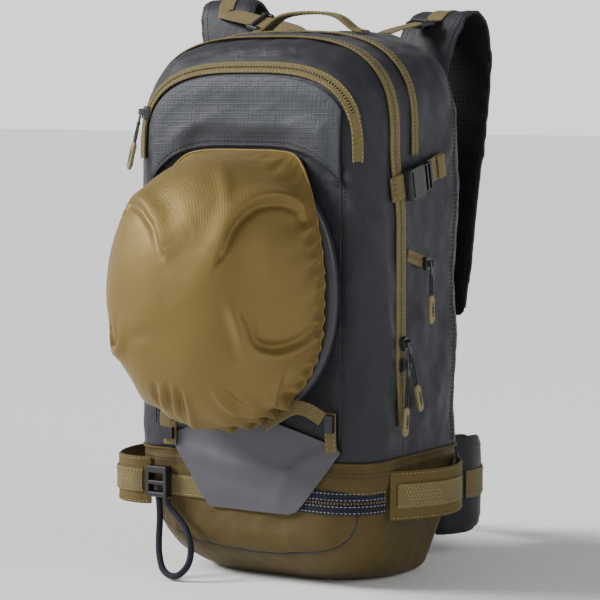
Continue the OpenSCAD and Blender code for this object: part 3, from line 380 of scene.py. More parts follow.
class Cut:
    """Points, faces and cloth coordinates of one piece while it is made."""

    def __init__(self):
        self.points, self.faces, self.coords, self.kinds, self.count = [], [], [], [], 0

    def grid(self, p, wrap=False, kind=0, uv=None):
        """A sheet of four-sided faces; wrap joins its last column to its first."""
        p = np.asarray(p, float)
        rows, cols = p.shape[:2]
        index = self.count + np.arange(rows * cols).reshape(rows, cols)
        if wrap:
            p_more = np.concatenate([p, p[:, :1]], 1)
            index_more = np.concatenate([index, index[:, :1]], 1)
        else:
            p_more, index_more = p, index
        if uv is None:
            mid_row, mid_col = p_more[rows // 2], p_more[:, cols // 3]
            u, v = lengths_along(mid_row), lengths_along(mid_col)
            uv = np.stack(np.broadcast_arrays(u[None, :], v[:, None]), -1)
        elif wrap and uv.shape[1] == cols:
            uv = np.concatenate([uv, uv[:, :1]], 1)
        for table, out in ((index_more, self.faces), (uv * MM, self.coords)):
            quad = np.stack([table[:-1, :-1], table[:-1, 1:], table[1:, 1:], table[1:, :-1]], 2)
            quad = quad.reshape((-1,) + quad.shape[2:])
            out.extend(quad.tolist() if out is self.faces else list(quad))
        self.kinds += [kind] * ((rows - 1) * (index_more.shape[1] - 1))
        self.points.append(p.reshape(-1, 3))
        self.count += rows * cols
        return index

    def cap(self, ring, kind=0):
        """One flat face over a ring of points."""
        ring = list(ring)
        self.faces.append(ring)
        self.coords.append(np.zeros((len(ring), 2)))
        self.kinds.append(kind)

    def tip(self, ring, point, kind=0):
        """Three-sided faces from a ring of points to one point."""
        self.points.append(np.asarray([point], float))
        for a, b in zip(ring, list(ring[1:]) + [ring[0]]):
            self.faces.append([int(a), int(b), self.count])
            self.coords.append(np.zeros((3, 2)))
            self.kinds.append(kind)
        self.count += 1

    def loft(self, p, kind=0, uv=None):
        """A closed solid through rings of points."""
        index = self.grid(p, True, kind, uv)
        self.cap(index[0][::-1].tolist(), kind)
        self.cap(index[-1].tolist(), kind)
        return index

    def ribbon(self, path, across, width, thick=WEB_T, kind=0):
        """Flat webbing along a route, with soft edges. Its coordinates run along and across."""
        path = np.asarray(path, float)
        f = unit(np.gradient(path, axis=0))
        a = np.broadcast_to(np.asarray(across, float), path.shape)
        s = unit(a - f * np.sum(a * f, -1, keepdims=True))
        n = np.cross(f, s)
        w = np.broadcast_to(np.asarray(width, float), len(path))[:, None, None]
        side = np.array([-.5, -.485, -.44, -.22, 0, .22, .44, .485, .5, .485, .44, .22, 0, -.22, -.44, -.485])
        lift = np.array([0, .36, .5, .5, .5, .5, .5, .36, 0, -.36, -.5, -.5, -.5, -.5, -.5, -.36])
        p = path[:, None] + s[:, None] * side[None, :, None] * w + n[:, None] * lift[None, :, None] * thick
        run = lengths_along(path)
        uv = np.stack(np.broadcast_arrays(run[:, None], side[None, :] * w[:, :, 0]), -1)
        self.loft(p, kind, uv)
        return s, n

    def tube(self, path, radius, sides=8, kind=0, closed=False):
        """A round cord along a route."""
        path = np.asarray(path, float)
        if closed:
            f = unit(np.roll(path, -1, 0) - np.roll(path, 1, 0))
        else:
            f = unit(np.gradient(path, axis=0))
        side = np.cross(f[0], [0.31, 0.17, 0.93])
        rings = []
        r = np.broadcast_to(np.asarray(radius, float), len(path))
        turn = np.linspace(0, 2 * math.pi, sides, endpoint=False)
        for i, q in enumerate(path):
            side = unit(side - f[i] * (side @ f[i]))
            up = np.cross(f[i], side)
            rings.append(q + r[i] * (np.cos(turn)[:, None] * side + np.sin(turn)[:, None] * up))
        rings = np.array(rings)
        run = lengths_along(path)
        uv = np.stack(np.broadcast_arrays(run[:, None], (turn * r.mean())[None, :]), -1)
        if closed:
            return self.grid(np.concatenate([rings, rings[:1]]), True, kind,
                             np.concatenate([uv, uv[-1:] + 1]))
        return self.loft(rings, kind, uv)

    def block(self, place, half, power=4.0, rows=9, cols=28, kind=0, axes=None):
        """A moulded pebble of a block with rounded sides."""
        axes = np.eye(3) if axes is None else np.asarray(axes, float)
        t = np.linspace(0, 2 * math.pi, cols, endpoint=False)
        a = np.linspace(-math.pi / 2, math.pi / 2, rows + 2)[1:-1]
        k = spow(np.cos(a), 2 / power)[:, None]
        p = np.stack(np.broadcast_arrays(half[0] * k * spow(np.cos(t), 2 / power),
                                         half[1] * k * spow(np.sin(t), 2 / power),
                                         half[2] * spow(np.sin(a), 2 / power)[:, None]), -1)
        self.loft(p @ axes + np.asarray(place, float), kind)


def make_piece(name, cut, cloths, body=None, nodes=(), sharp=None):
    """Turns a cut into a piece of the pack, in metres, that rides on a body."""
    mesh = bpy.data.meshes.new(name)
    mesh.from_pydata((np.concatenate(cut.points) * MM).tolist(), [], cut.faces)
    if len(mesh.polygons) != len(cut.faces):
        raise RuntimeError(name + " lost faces")
    layer = mesh.uv_layers.new(name="cloth")
    layer.data.foreach_set("uv", np.concatenate([np.asarray(c, float) for c in cut.coords]).ravel())
    mesh.polygons.foreach_set("material_index", cut.kinds)
    for cloth in cloths:
        mesh.materials.append(cloth)
    build = bmesh.new()
    build.from_mesh(mesh)
    bmesh.ops.recalc_face_normals(build, faces=build.faces[:])
    build.to_mesh(mesh)
    build.free()
    mesh.polygons.foreach_set("use_smooth", [True] * len(mesh.polygons))
    if sharp:
        mesh.set_sharp_from_angle(angle=math.radians(sharp))
    mesh.update()
    obj = bpy.data.objects.new(name, mesh)
    bpy.context.scene.collection.objects.link(obj)
    if body:
        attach(obj, body)
    if nodes:
        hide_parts(*nodes)
    return obj


def thicken(obj, depth, inner=0):
    """Gives a sewn shell its cloth thickness, inwards; inner is the lining's place in its materials."""
    wall = obj.modifiers.new("wall", "SOLIDIFY")
    wall.thickness = depth * MM
    wall.offset = -1
    wall.use_even_offset = False
    wall.material_offset = inner
    wall.material_offset_rim = 0
    return obj


def khaki_piece(name, cut, body, nodes):
    """A piece of khaki webbing."""
    return make_piece(name, cut, [CLOTH["khaki"]], body, nodes, 40)


def tape_piece(name, cut, body, nodes):
    """A piece of khaki zip tape."""
    return make_piece(name, cut, [CLOTH["tape"]], body, nodes, 40)


def shaped(obj):
    """A plain mesh of a piece with its modifiers applied."""
    return bpy.data.meshes.new_from_object(obj.evaluated_get(bpy.context.evaluated_depsgraph_get()))


def swell(obj, sewn, voxel):
    """Swells a padded cover with a short cloth simulation."""
    scene = bpy.context.scene
    grid = obj.modifiers.new("grid", "REMESH")
    grid.mode, grid.voxel_size = "VOXEL", voxel * MM
    mesh = shaped(obj)
    obj.modifiers.remove(grid)
    trial = bpy.data.objects.new(obj.name + "_trial", mesh)
    scene.collection.objects.link(trial)
    rest = np.empty(len(mesh.vertices) * 3)
    mesh.vertices.foreach_get("co", rest)
    held = trial.vertex_groups.new(name="sewn")
    held.add(np.flatnonzero(sewn(rest.reshape(-1, 3) / MM)).tolist(), 1.0, "REPLACE")
    cloth = trial.modifiers.new("cloth", "CLOTH")
    cloth.settings.vertex_group_mass = held.name
    cloth.settings.use_pressure = True
    cloth.settings.uniform_pressure_force = SWELL_PRESSURE
    cloth.settings.effector_weights.gravity = 0
    cloth.point_cache.frame_start, cloth.point_cache.frame_end = 1, SWELL_FRAMES
    for step in range(1, SWELL_FRAMES + 1):
        scene.frame_set(step)
    swollen = shaped(trial)
    moved = np.empty(len(mesh.vertices) * 3)
    swollen.vertices.foreach_get("co", moved)
    move = (moved - rest).reshape(-1, 3)
    size = np.linalg.norm(move, axis=1, keepdims=True) + 1e-9
    most = scene.backpack_sizes.pad_swell
    mesh.vertices.foreach_set("co", (rest.reshape(-1, 3) + move * np.minimum(1, most / size)).ravel())
    scene.frame_set(1)
    bpy.data.objects.remove(trial)
    bpy.data.meshes.remove(swollen)
    for look in obj.data.materials:
        mesh.materials.append(look)
    mesh.polygons.foreach_set("use_smooth", [True] * len(mesh.polygons))
    mesh.update()
    mesh.name = obj.name
    obj.data = mesh


def plump(obj, sewn, voxel=4.0):
    """Lets a padded cover swell under its filling; sewn says, for points in millimetres, which of them
    a seam holds still."""
    swell(obj, sewn, voxel)
    soften = obj.modifiers.new("soft", "SUBSURF")
    soften.levels = soften.render_levels = 1


# Finishes

def node(tree, kind, inputs=None, **settings):
    """Adds one node with its settings; inputs hold values or the sockets that feed them."""
    made = tree.nodes.new(kind)
    for key, value in settings.items():
        setattr(made, key, value)
    for key, value in (inputs or {}).items():
        if isinstance(value, bpy.types.NodeSocket):
            tree.links.new(value, made.inputs[key])
        else:
            made.inputs[key].default_value = value
    return made


def new_finish(name):
    """An empty material with its tree."""
    made = bpy.data.materials.new(name)
    made.use_nodes = True
    tree = made.node_tree
    tree.nodes.clear()
    return made, tree


def rgba(colour, gain=1.0):
    """A colour made brighter or darker, as a socket takes it."""
    return [min(c * gain, 1) for c in colour[:3]] + [1.0]


def woven(name, colour, thread, rough, bump, sheen=0.15, grid=0.0, coarse=0.05, spread=0.16):
    """Woven nylon: crossing threads give a fine grain, and the gaps between them are darker, partly the
    cloth's own tone and partly painted shade; the dye is a little uneven, and the cloth has a soft sheen
    at a low angle. A ripstop has a grid of heavier threads. Threads are about 0.4 mm apart on the real
    cloth; they are drawn several times as coarse, or they would not show."""
    made, tree = new_finish(name)
    uv = node(tree, "ShaderNodeUVMap", uv_map="cloth")
    warp = node(tree, "ShaderNodeTexWave", {"Vector": uv.outputs[0], "Scale": WAVE / (thread * MM)},
                bands_direction="X")
    weft = node(tree, "ShaderNodeTexWave", {"Vector": uv.outputs[0], "Scale": WAVE / (thread * MM)},
                bands_direction="Y")
    threads = node(tree, "ShaderNodeMath", {0: warp.outputs["Fac"], 1: weft.outputs["Fac"]},
                   operation="MULTIPLY")
    place = node(tree, "ShaderNodeTexCoord")
    mottle = node(tree, "ShaderNodeTexNoise", {"Vector": place.outputs["Object"], "Scale": 1 / coarse,
                                               "Detail": 5, "Roughness": 0.6})
    shade = node(tree, "ShaderNodeMix", {0: mottle.outputs["Fac"], 6: rgba(colour, 1 - spread),
                                         7: rgba(colour, 1 + spread)}, data_type="RGBA")
    height, base = threads.outputs[0], shade.outputs[2]
    if grid:
        lines = [node(tree, "ShaderNodeTexWave", {"Vector": uv.outputs[0], "Scale": WAVE / grid},
                      bands_direction=way, wave_profile="SIN") for way in "XY"]
        ridge = node(tree, "ShaderNodeMath", {0: lines[0].outputs["Fac"], 1: lines[1].outputs["Fac"]},
                     operation="MAXIMUM")
        ridge = node(tree, "ShaderNodeMapRange", {"Value": ridge.outputs[0], "From Min": 0.86,
                                                  "From Max": 1.0})
        height = node(tree, "ShaderNodeMath", {0: height, 1: ridge.outputs[0]}, operation="ADD").outputs[0]
        base = node(tree, "ShaderNodeMix", {0: ridge.outputs[0], 6: base, 7: rgba(colour, 0.86)},
                    data_type="RGBA").outputs[2]
    # Partly painted shade: the gaps between the threads are darkened as shade falls in them, as well as being
    # the cloth's own tone
    thread_tone_and_shade = node(tree, "ShaderNodeMix", {0: threads.outputs[0], 6: rgba((0.86, 0.86, 0.86)),
                                         7: rgba((1, 1, 1))}, data_type="RGBA")
    base = node(tree, "ShaderNodeMix", {0: 1.0, 6: base, 7: thread_tone_and_shade.outputs[2]}, data_type="RGBA",
                blend_type="MULTIPLY").outputs[2]
    crease = node(tree, "ShaderNodeTexNoise", {"Vector": place.outputs["Object"], "Scale": 55.0, "Detail": 3,
                                               "Distortion": 0.6})
    soft = node(tree, "ShaderNodeBump", {"Strength": 0.28, "Distance": 0.004,
                                         "Height": crease.outputs["Fac"]})
    fine = node(tree, "ShaderNodeBump", {"Strength": bump, "Distance": 0.0006, "Height": height,
                                         "Normal": soft.outputs[0]})
    gloss = node(tree, "ShaderNodeMapRange", {"Value": mottle.outputs["Fac"], "To Min": rough - 0.06,
                                              "To Max": rough + 0.06})
    shader = node(tree, "ShaderNodeBsdfPrincipled", {
        "Base Color": base, "Roughness": gloss.outputs[0], "Normal": fine.outputs[0],
        "Sheen Weight": sheen, "Sheen Roughness": 0.4, "Specular IOR Level": 0.28})
    node(tree, "ShaderNodeOutputMaterial", {"Surface": shader.outputs["BSDF"]})
    return made


def satin(name, colour):
    """Satin-woven nylon: long floats give a broad soft gloss along the folds, over a faint twill."""
    made, tree = new_finish(name)
    uv = node(tree, "ShaderNodeUVMap", uv_map="cloth")
    # Twill about 0.5 mm wide on the real cloth, drawn at 2.4 mm to show
    twill = node(tree, "ShaderNodeTexWave", {"Vector": uv.outputs[0], "Scale": WAVE / 0.0024,
                                             "Distortion": 0.4, "Detail": 1}, bands_direction="DIAGONAL")
    place = node(tree, "ShaderNodeTexCoord")
    cloud = node(tree, "ShaderNodeTexNoise", {"Vector": place.outputs["Object"], "Scale": 14.0, "Detail": 4})
    # The twill's lines show in the colour beside the cloudy tone, partly the cloth's own tone and partly
    # painted shade in the twill's grooves
    grain = node(tree, "ShaderNodeMix", {0: 0.4, 2: cloud.outputs["Fac"], 3: twill.outputs["Fac"]})
    base = node(tree, "ShaderNodeMix", {0: grain.outputs[0], 6: rgba(colour, 0.84), 7: rgba(colour, 1.14)},
                data_type="RGBA")
    crumple = node(tree, "ShaderNodeTexNoise", {"Vector": place.outputs["Object"], "Scale": 38.0, "Detail": 3,
                                                "Distortion": 0.8})
    soft = node(tree, "ShaderNodeBump", {"Strength": 0.22, "Distance": 0.004,
                                         "Height": crumple.outputs["Fac"]})
    fine = node(tree, "ShaderNodeBump", {"Strength": 0.12, "Distance": 0.0005, "Height": twill.outputs["Fac"],
                                         "Normal": soft.outputs[0]})
    gloss = node(tree, "ShaderNodeMapRange", {"Value": cloud.outputs["Fac"], "To Min": 0.5, "To Max": 0.6})
    shader = node(tree, "ShaderNodeBsdfPrincipled", {
        "Base Color": base.outputs[2], "Roughness": gloss.outputs[0], "Normal": fine.outputs[0],
        "Sheen Weight": 0.12, "Sheen Roughness": 0.35, "Sheen Tint": rgba((0.9, 0.8, 0.55)),
        "Metallic": 0.35, "Specular IOR Level": 0.4, "Specular Tint": rgba((1, 0.88, 0.62))})
    node(tree, "ShaderNodeOutputMaterial", {"Surface": shader.outputs["BSDF"]})
    return made


def webbing(name, colour, rib=2.6, rough=0.72):
    """Woven polyester webbing: thick ribs run along it and the weft crosses them, so it looks corded and
    dull; the grooves between the threads are painted darker, as shade. Ribs are about 1 mm wide on the
    real webbing, and are drawn coarser to show."""
    made, tree = new_finish(name)
    uv = node(tree, "ShaderNodeUVMap", uv_map="cloth")
    ribs = node(tree, "ShaderNodeTexWave", {"Vector": uv.outputs[0], "Scale": WAVE / (rib * MM)},
                bands_direction="Y")
    turn = node(tree, "ShaderNodeMapping", {"Vector": uv.outputs[0], "Rotation": (0, 0, 0.7)})
    weft = node(tree, "ShaderNodeTexWave", {"Vector": turn.outputs[0], "Scale": WAVE / (rib * 1.2 * MM)},
                bands_direction="X")
    threads = node(tree, "ShaderNodeMath", {0: ribs.outputs["Fac"], 1: weft.outputs["Fac"]},
                   operation="MULTIPLY")
    place = node(tree, "ShaderNodeTexCoord")
    wear = node(tree, "ShaderNodeTexNoise", {"Vector": place.outputs["Object"], "Scale": 90.0, "Detail": 4})
    shade = node(tree, "ShaderNodeMix", {0: wear.outputs["Fac"], 6: rgba(colour, 0.78), 7: rgba(colour, 1.2)},
                 data_type="RGBA")
    # Painted shade: the grooves between the threads are darkened, as shade falls in them
    dark = node(tree, "ShaderNodeMix", {0: threads.outputs[0], 6: rgba((0.66, 0.64, 0.6)),
                                        7: rgba((1, 1, 1))}, data_type="RGBA")
    base = node(tree, "ShaderNodeMix", {0: 1.0, 6: shade.outputs[2], 7: dark.outputs[2]}, data_type="RGBA",
                blend_type="MULTIPLY")
    relief = node(tree, "ShaderNodeBump", {"Strength": 0.55, "Distance": 0.0008,
                                           "Height": threads.outputs[0]})
    shader = node(tree, "ShaderNodeBsdfPrincipled", {
        "Base Color": base.outputs[2], "Roughness": rough, "Normal": relief.outputs[0],
        "Sheen Weight": 0.06, "Specular IOR Level": 0.2})
    node(tree, "ShaderNodeOutputMaterial", {"Surface": shader.outputs["BSDF"]})
    return made


def coated(name, colour):
    """Coated nylon: a smooth film over the cloth, with a soft gloss and faint pressure marks."""
    made, tree = new_finish(name)
    place = node(tree, "ShaderNodeTexCoord")
    cloud = node(tree, "ShaderNodeTexNoise", {"Vector": place.outputs["Object"], "Scale": 22.0, "Detail": 4})
    base = node(tree, "ShaderNodeMix", {0: cloud.outputs["Fac"], 6: rgba(colour, 0.9), 7: rgba(colour, 1.08)},
                data_type="RGBA")
    grain = node(tree, "ShaderNodeTexNoise", {"Vector": place.outputs["Object"], "Scale": 420.0, "Detail": 2})
    relief = node(tree, "ShaderNodeBump", {"Strength": 0.08, "Distance": 0.0008,
                                           "Height": grain.outputs["Fac"]})
    gloss = node(tree, "ShaderNodeMapRange", {"Value": cloud.outputs["Fac"], "To Min": 0.42, "To Max": 0.55})
    shader = node(tree, "ShaderNodeBsdfPrincipled", {
        "Base Color": base.outputs[2], "Roughness": gloss.outputs[0], "Normal": relief.outputs[0]})
    node(tree, "ShaderNodeOutputMaterial", {"Surface": shader.outputs["BSDF"]})
    return made


def spacer_mesh(name, colour):
    """Spacer mesh: a knitted face with rows of small open holes, dull and black; the holes are painted
    darker, as the shade inside them. Holes are about 2.5 mm apart on the real mesh, and are drawn at 5 mm
    to show."""
    made, tree = new_finish(name)
    place = node(tree, "ShaderNodeTexCoord")
    holes = node(tree, "ShaderNodeTexVoronoi", {"Vector": place.outputs["Object"], "Scale": 1 / 0.005,
                                                "Randomness": 0.15})
    depth = node(tree, "ShaderNodeMapRange", {"Value": holes.outputs["Distance"], "From Min": 0.12,
                                              "From Max": 0.42})
    # Painted shade: the holes are darkened, as shade falls inside them
    base = node(tree, "ShaderNodeMix", {0: depth.outputs[0], 6: rgba(colour, 0.3), 7: rgba(colour, 1.5)},
                data_type="RGBA")
    relief = node(tree, "ShaderNodeBump", {"Strength": 0.7, "Distance": 0.0012, "Height": depth.outputs[0]})
    shader = node(tree, "ShaderNodeBsdfPrincipled", {
        "Base Color": base.outputs[2], "Roughness": 0.85, "Normal": relief.outputs[0],
        "Specular IOR Level": 0.15})
    node(tree, "ShaderNodeOutputMaterial", {"Surface": shader.outputs["BSDF"]})
    return made


def moulded(name, colour, rough=0.42, grain=0.0006, strength=0.12):
    """Injection-moulded plastic or rubber: a fine spark-eroded grain with a dull gloss, rubbed smoother
    and a little paler in patches."""
    made, tree = new_finish(name)
    place = node(tree, "ShaderNodeTexCoord")
    grit = node(tree, "ShaderNodeTexNoise", {"Vector": place.outputs["Object"], "Scale": 1 / grain,
                                             "Detail": 2})
    rub = node(tree, "ShaderNodeTexNoise", {"Vector": place.outputs["Object"], "Scale": 130.0, "Detail": 4})
    base = node(tree, "ShaderNodeMix", {0: rub.outputs["Fac"], 6: rgba(colour, 0.82), 7: rgba(colour, 1.25)},
                data_type="RGBA")
    gloss = node(tree, "ShaderNodeMapRange", {"Value": rub.outputs["Fac"], "To Min": rough + 0.1,
                                              "To Max": rough - 0.1})
    relief = node(tree, "ShaderNodeBump", {"Strength": strength, "Distance": 0.0004,
                                           "Height": grit.outputs["Fac"]})
    shader = node(tree, "ShaderNodeBsdfPrincipled", {
        "Base Color": base.outputs[2], "Roughness": gloss.outputs[0], "Normal": relief.outputs[0]})
    node(tree, "ShaderNodeOutputMaterial", {"Surface": shader.outputs["BSDF"]})
    return made


def cast_metal(name, colour, rough=0.36):
    """Die-cast or drawn metal with a tumbled finish: small bright scratches over a grey sheen."""
    made, tree = new_finish(name)
    place = node(tree, "ShaderNodeTexCoord")
    stretch = node(tree, "ShaderNodeMapping", {"Vector": place.outputs["Object"], "Scale": (1, 1, 0.15)})
    scratch = node(tree, "ShaderNodeTexNoise", {"Vector": stretch.outputs[0], "Scale": 900.0, "Detail": 3})
    patch = node(tree, "ShaderNodeTexNoise", {"Vector": place.outputs["Object"], "Scale": 160.0, "Detail": 3})
    base = node(tree, "ShaderNodeMix", {0: patch.outputs["Fac"], 6: rgba(colour, 0.8), 7: rgba(colour, 1.15)},
                data_type="RGBA")
    gloss = node(tree, "ShaderNodeMapRange", {"Value": scratch.outputs["Fac"], "To Min": rough - 0.1,
                                              "To Max": rough + 0.14})
    relief = node(tree, "ShaderNodeBump", {"Strength": 0.1, "Distance": 0.0003,
                                           "Height": scratch.outputs["Fac"]})
    shader = node(tree, "ShaderNodeBsdfPrincipled", {
        "Base Color": base.outputs[2], "Roughness": gloss.outputs[0], "Normal": relief.outputs[0],
        "Metallic": 1.0})
    node(tree, "ShaderNodeOutputMaterial", {"Surface": shader.outputs["BSDF"]})
    return made


def make_finishes():
    """All finishes of the pack, by the maker's names."""
    c = bpy.context.scene.backpack_colours
    grid = bpy.context.scene.backpack_sizes.ripstop
    return {
        "boot": woven("cordura_olive", c.boot, 2.2, 0.66, 0.5, 0.05),
        "shell": woven("nylon_charcoal", c.shell, 1.8, 0.55, 0.3, 0.08),
        "panel": woven("nylon_dark", c.panel, 1.8, 0.5, 0.3, 0.08),
        "ripstop": woven("ripstop_slate", c.ripstop, 1.6, 0.5, 0.3, 0.08, grid),
        "lining": woven("lining_nylon_grey", c.lining, 1.4, 0.6, 0.2, 0.1),
        "flap": coated("coated_nylon_grey", c.flap),
        "sling": satin("satin_nylon_bronze", c.sling),
        "khaki": webbing("polyester_webbing_khaki", c.khaki),
        "tape": webbing("zip_tape_khaki", c.khaki, 2.0, 0.78),
        "canvas": woven("canvas_ochre", c.canvas, 2.4, 0.8, 0.6, 0.04),
        "navy": webbing("webbing_navy", c.navy),
        "strap": woven("harness_nylon_charcoal", c.strap, 1.8, 0.58, 0.3, 0.06),
        "mesh": spacer_mesh("spacer_mesh_black", c.mesh),
        "plastic": moulded("acetal_black", c.plastic),
        "metal": cast_metal("zinc_die_cast", c.metal),
        "hook": cast_metal("blackened_hook_wire", linear("3f3f42"), 0.4),
        "steel": cast_metal("spring_steel", linear("aeaeb2"), 0.3),
        "alloy": cast_metal("aluminium_anodised", linear("9ea0a4"), 0.32),
        "rubber": moulded("pull_rubber_khaki", c.khaki, 0.6, 0.0009, 0.2),
        "thread": moulded("polyester_thread", [v * 1.35 for v in c.khaki], 0.7),
        "dark_thread": moulded("polyester_thread_dark", [v * 0.7 for v in c.shell], 0.7),
        "pale_thread": moulded("polyester_thread_pale", linear("8e8f98"), 0.7),
        "coil": moulded("nylon_coil_olive", [v * 0.62 for v in c.khaki], 0.5),
        "cord": moulded("pull_cord_black", c.plastic, 0.65, 0.0012, 0.5),
        "helmet": moulded("abs_helmet_grey", c.helmet, 0.38, 0.0007, 0.06),
        "foam": moulded("eps_foam_black", linear("1c1d1f"), 0.9, 0.003, 0.5),
        "sheet": moulded("polyethylene_sheet", linear("2b2c2f"), 0.5, 0.002, 0.2),
        "hose": moulded("epdm_rubber", linear("1b1b1c"), 0.6),
        "airbag": woven("airbag_nylon_orange", c.airbag, 1.6, 0.5, 0.3, 0.08),
        "trigger": moulded("trigger_grip_red", c.trigger, 0.45, 0.0009, 0.2),
        "canister": moulded("powder_coat_grey", linear("8b9097"), 0.4, 0.0009, 0.12),
    }


CLOTH = {}
# Stitch rows, zip coils and seam lines wait here, for each body, until they are sewn
SEAMS = {}
COILS = {}
LINES = {}


def seam(body, thread, path, up):
    """Keeps one row of stitches for later."""
    up = np.broadcast_to(np.asarray(up, float), np.shape(path))
    SEAMS.setdefault((body, thread), []).append((np.asarray(path, float), up))


def coil(body, path, up):
    """Keeps one zip coil for later."""
    COILS.setdefault(body, []).append((path, up))


def seam_line(body, path, radius=0.8):
    """Keeps one sewn joint, seen as a fine dark line, for later."""
    LINES.setdefault(body, Cut()).tube(path, radius, 6)


# Operators

class MakeStage(bpy.types.Operator):
    """Set up the pale floor, the soft light and the camera"""

    bl_idname = "backpack.stage"
    bl_label = "Stage"

    def execute(self, context):
        scene = context.scene
        turn, tilt, reach = math.radians(32), math.radians(5), 2.6
        aim = Vector((0, 0, 0.284))
        lens = bpy.data.cameras.new("camera")
        lens.lens, lens.sensor_width, lens.sensor_fit = 148.2, 36, "HORIZONTAL"
        camera = bpy.data.objects.new("camera", lens)
        scene.collection.objects.link(camera)
        way = Vector((math.sin(turn) * math.cos(tilt), -math.cos(turn) * math.cos(tilt), math.sin(tilt)))
        camera.location = aim + way * reach
        camera.rotation_euler = (-way).to_track_quat("-Z", "Y").to_euler()
        scene.camera = camera

        cut = Cut()
        side = np.linspace(-20000, 20000, 9)
        x, y = np.meshgrid(side, side)
        cut.grid(np.stack([x, y, np.full(x.shape, -0.6)], -1))
        paper = moulded("studio_floor_paper", linear("f4f4f4"), 0.75, 0.02, 0.02)
        make_piece("floor", cut, [paper])

        world = bpy.data.worlds.new("studio")
        world.use_nodes = True
        tree = world.node_tree
        # Bright round the horizon and dimmer overhead, as in a studio with white walls
        place = node(tree, "ShaderNodeTexCoord")
        parts = node(tree, "ShaderNodeSeparateXYZ", {0: place.outputs["Generated"]})
        glow = node(tree, "ShaderNodeMapRange", {
            "Value": parts.outputs["Z"], "From Min": 0.04, "From Max": 0.36, "To Min": 1.4, "To Max": 0.3})
        across = node(tree, "ShaderNodeMapRange", {
            "Value": parts.outputs["X"], "From Min": -0.2, "From Max": 0.8, "To Min": 1.0, "To Max": 0.6})
        glow = node(tree, "ShaderNodeMath", {0: glow.outputs[0], 1: across.outputs[0]}, operation="MULTIPLY")
        tree.links.new(glow.outputs[0], tree.nodes["Background"].inputs["Strength"])
        tree.nodes["Background"].inputs["Color"].default_value = rgba((1, 1, 1))
        scene.world = world
        key = bpy.data.lights.new("key_left", "SUN")
        key.energy, key.angle = 5.6, math.radians(22)
        fill = bpy.data.lights.new("fill_right", "AREA")
        fill.shape, fill.size, fill.energy = "SQUARE", 1.8, 30
        for lamp, spot in ((key, (-2.6, -1.75, 2.4)), (fill, (2.6, -0.6, 1.6))):
            obj = bpy.data.objects.new(lamp.name, lamp)
            obj.location = spot
            obj.rotation_euler = (Vector((0, 0, 0.3)) - Vector(spot)).to_track_quat("-Z", "Y").to_euler()
            scene.collection.objects.link(obj)
        return {"FINISHED"}


class MakeAxeLoop(bpy.types.Operator):
    """Hang the ice axe loop from its buckle"""

    bl_idname = "backpack.axe_loop"
    bl_label = "Ice axe loop"

    def execute(self, context):
        x, y = -104.0, -113.0
        route = spline([
            (x + 1, y, 81), (x + 3, y - 1, 62), (x + 4, y - 4, 44), (x + 8, y - 10, 26), (x + 17, y - 17, 11),
            (x + 29, y - 21, 5), (x + 41, y - 21, 7), (x + 49, y - 16, 18), (x + 48, y - 10, 34),
            (x + 39, y - 5, 51), (x + 26, y - 2, 63), (x + 14, y - 0.6, 73), (x + 12, y, 80.2),
        ], 6)
        cut = Cut()
        cut.tube(route, 3.5, 12)
        loop = make_piece("axe_loop_cord", cut, [CLOTH["navy"]], "pack", ["ice_axe_loop"], 50)
        return {"FINISHED"}


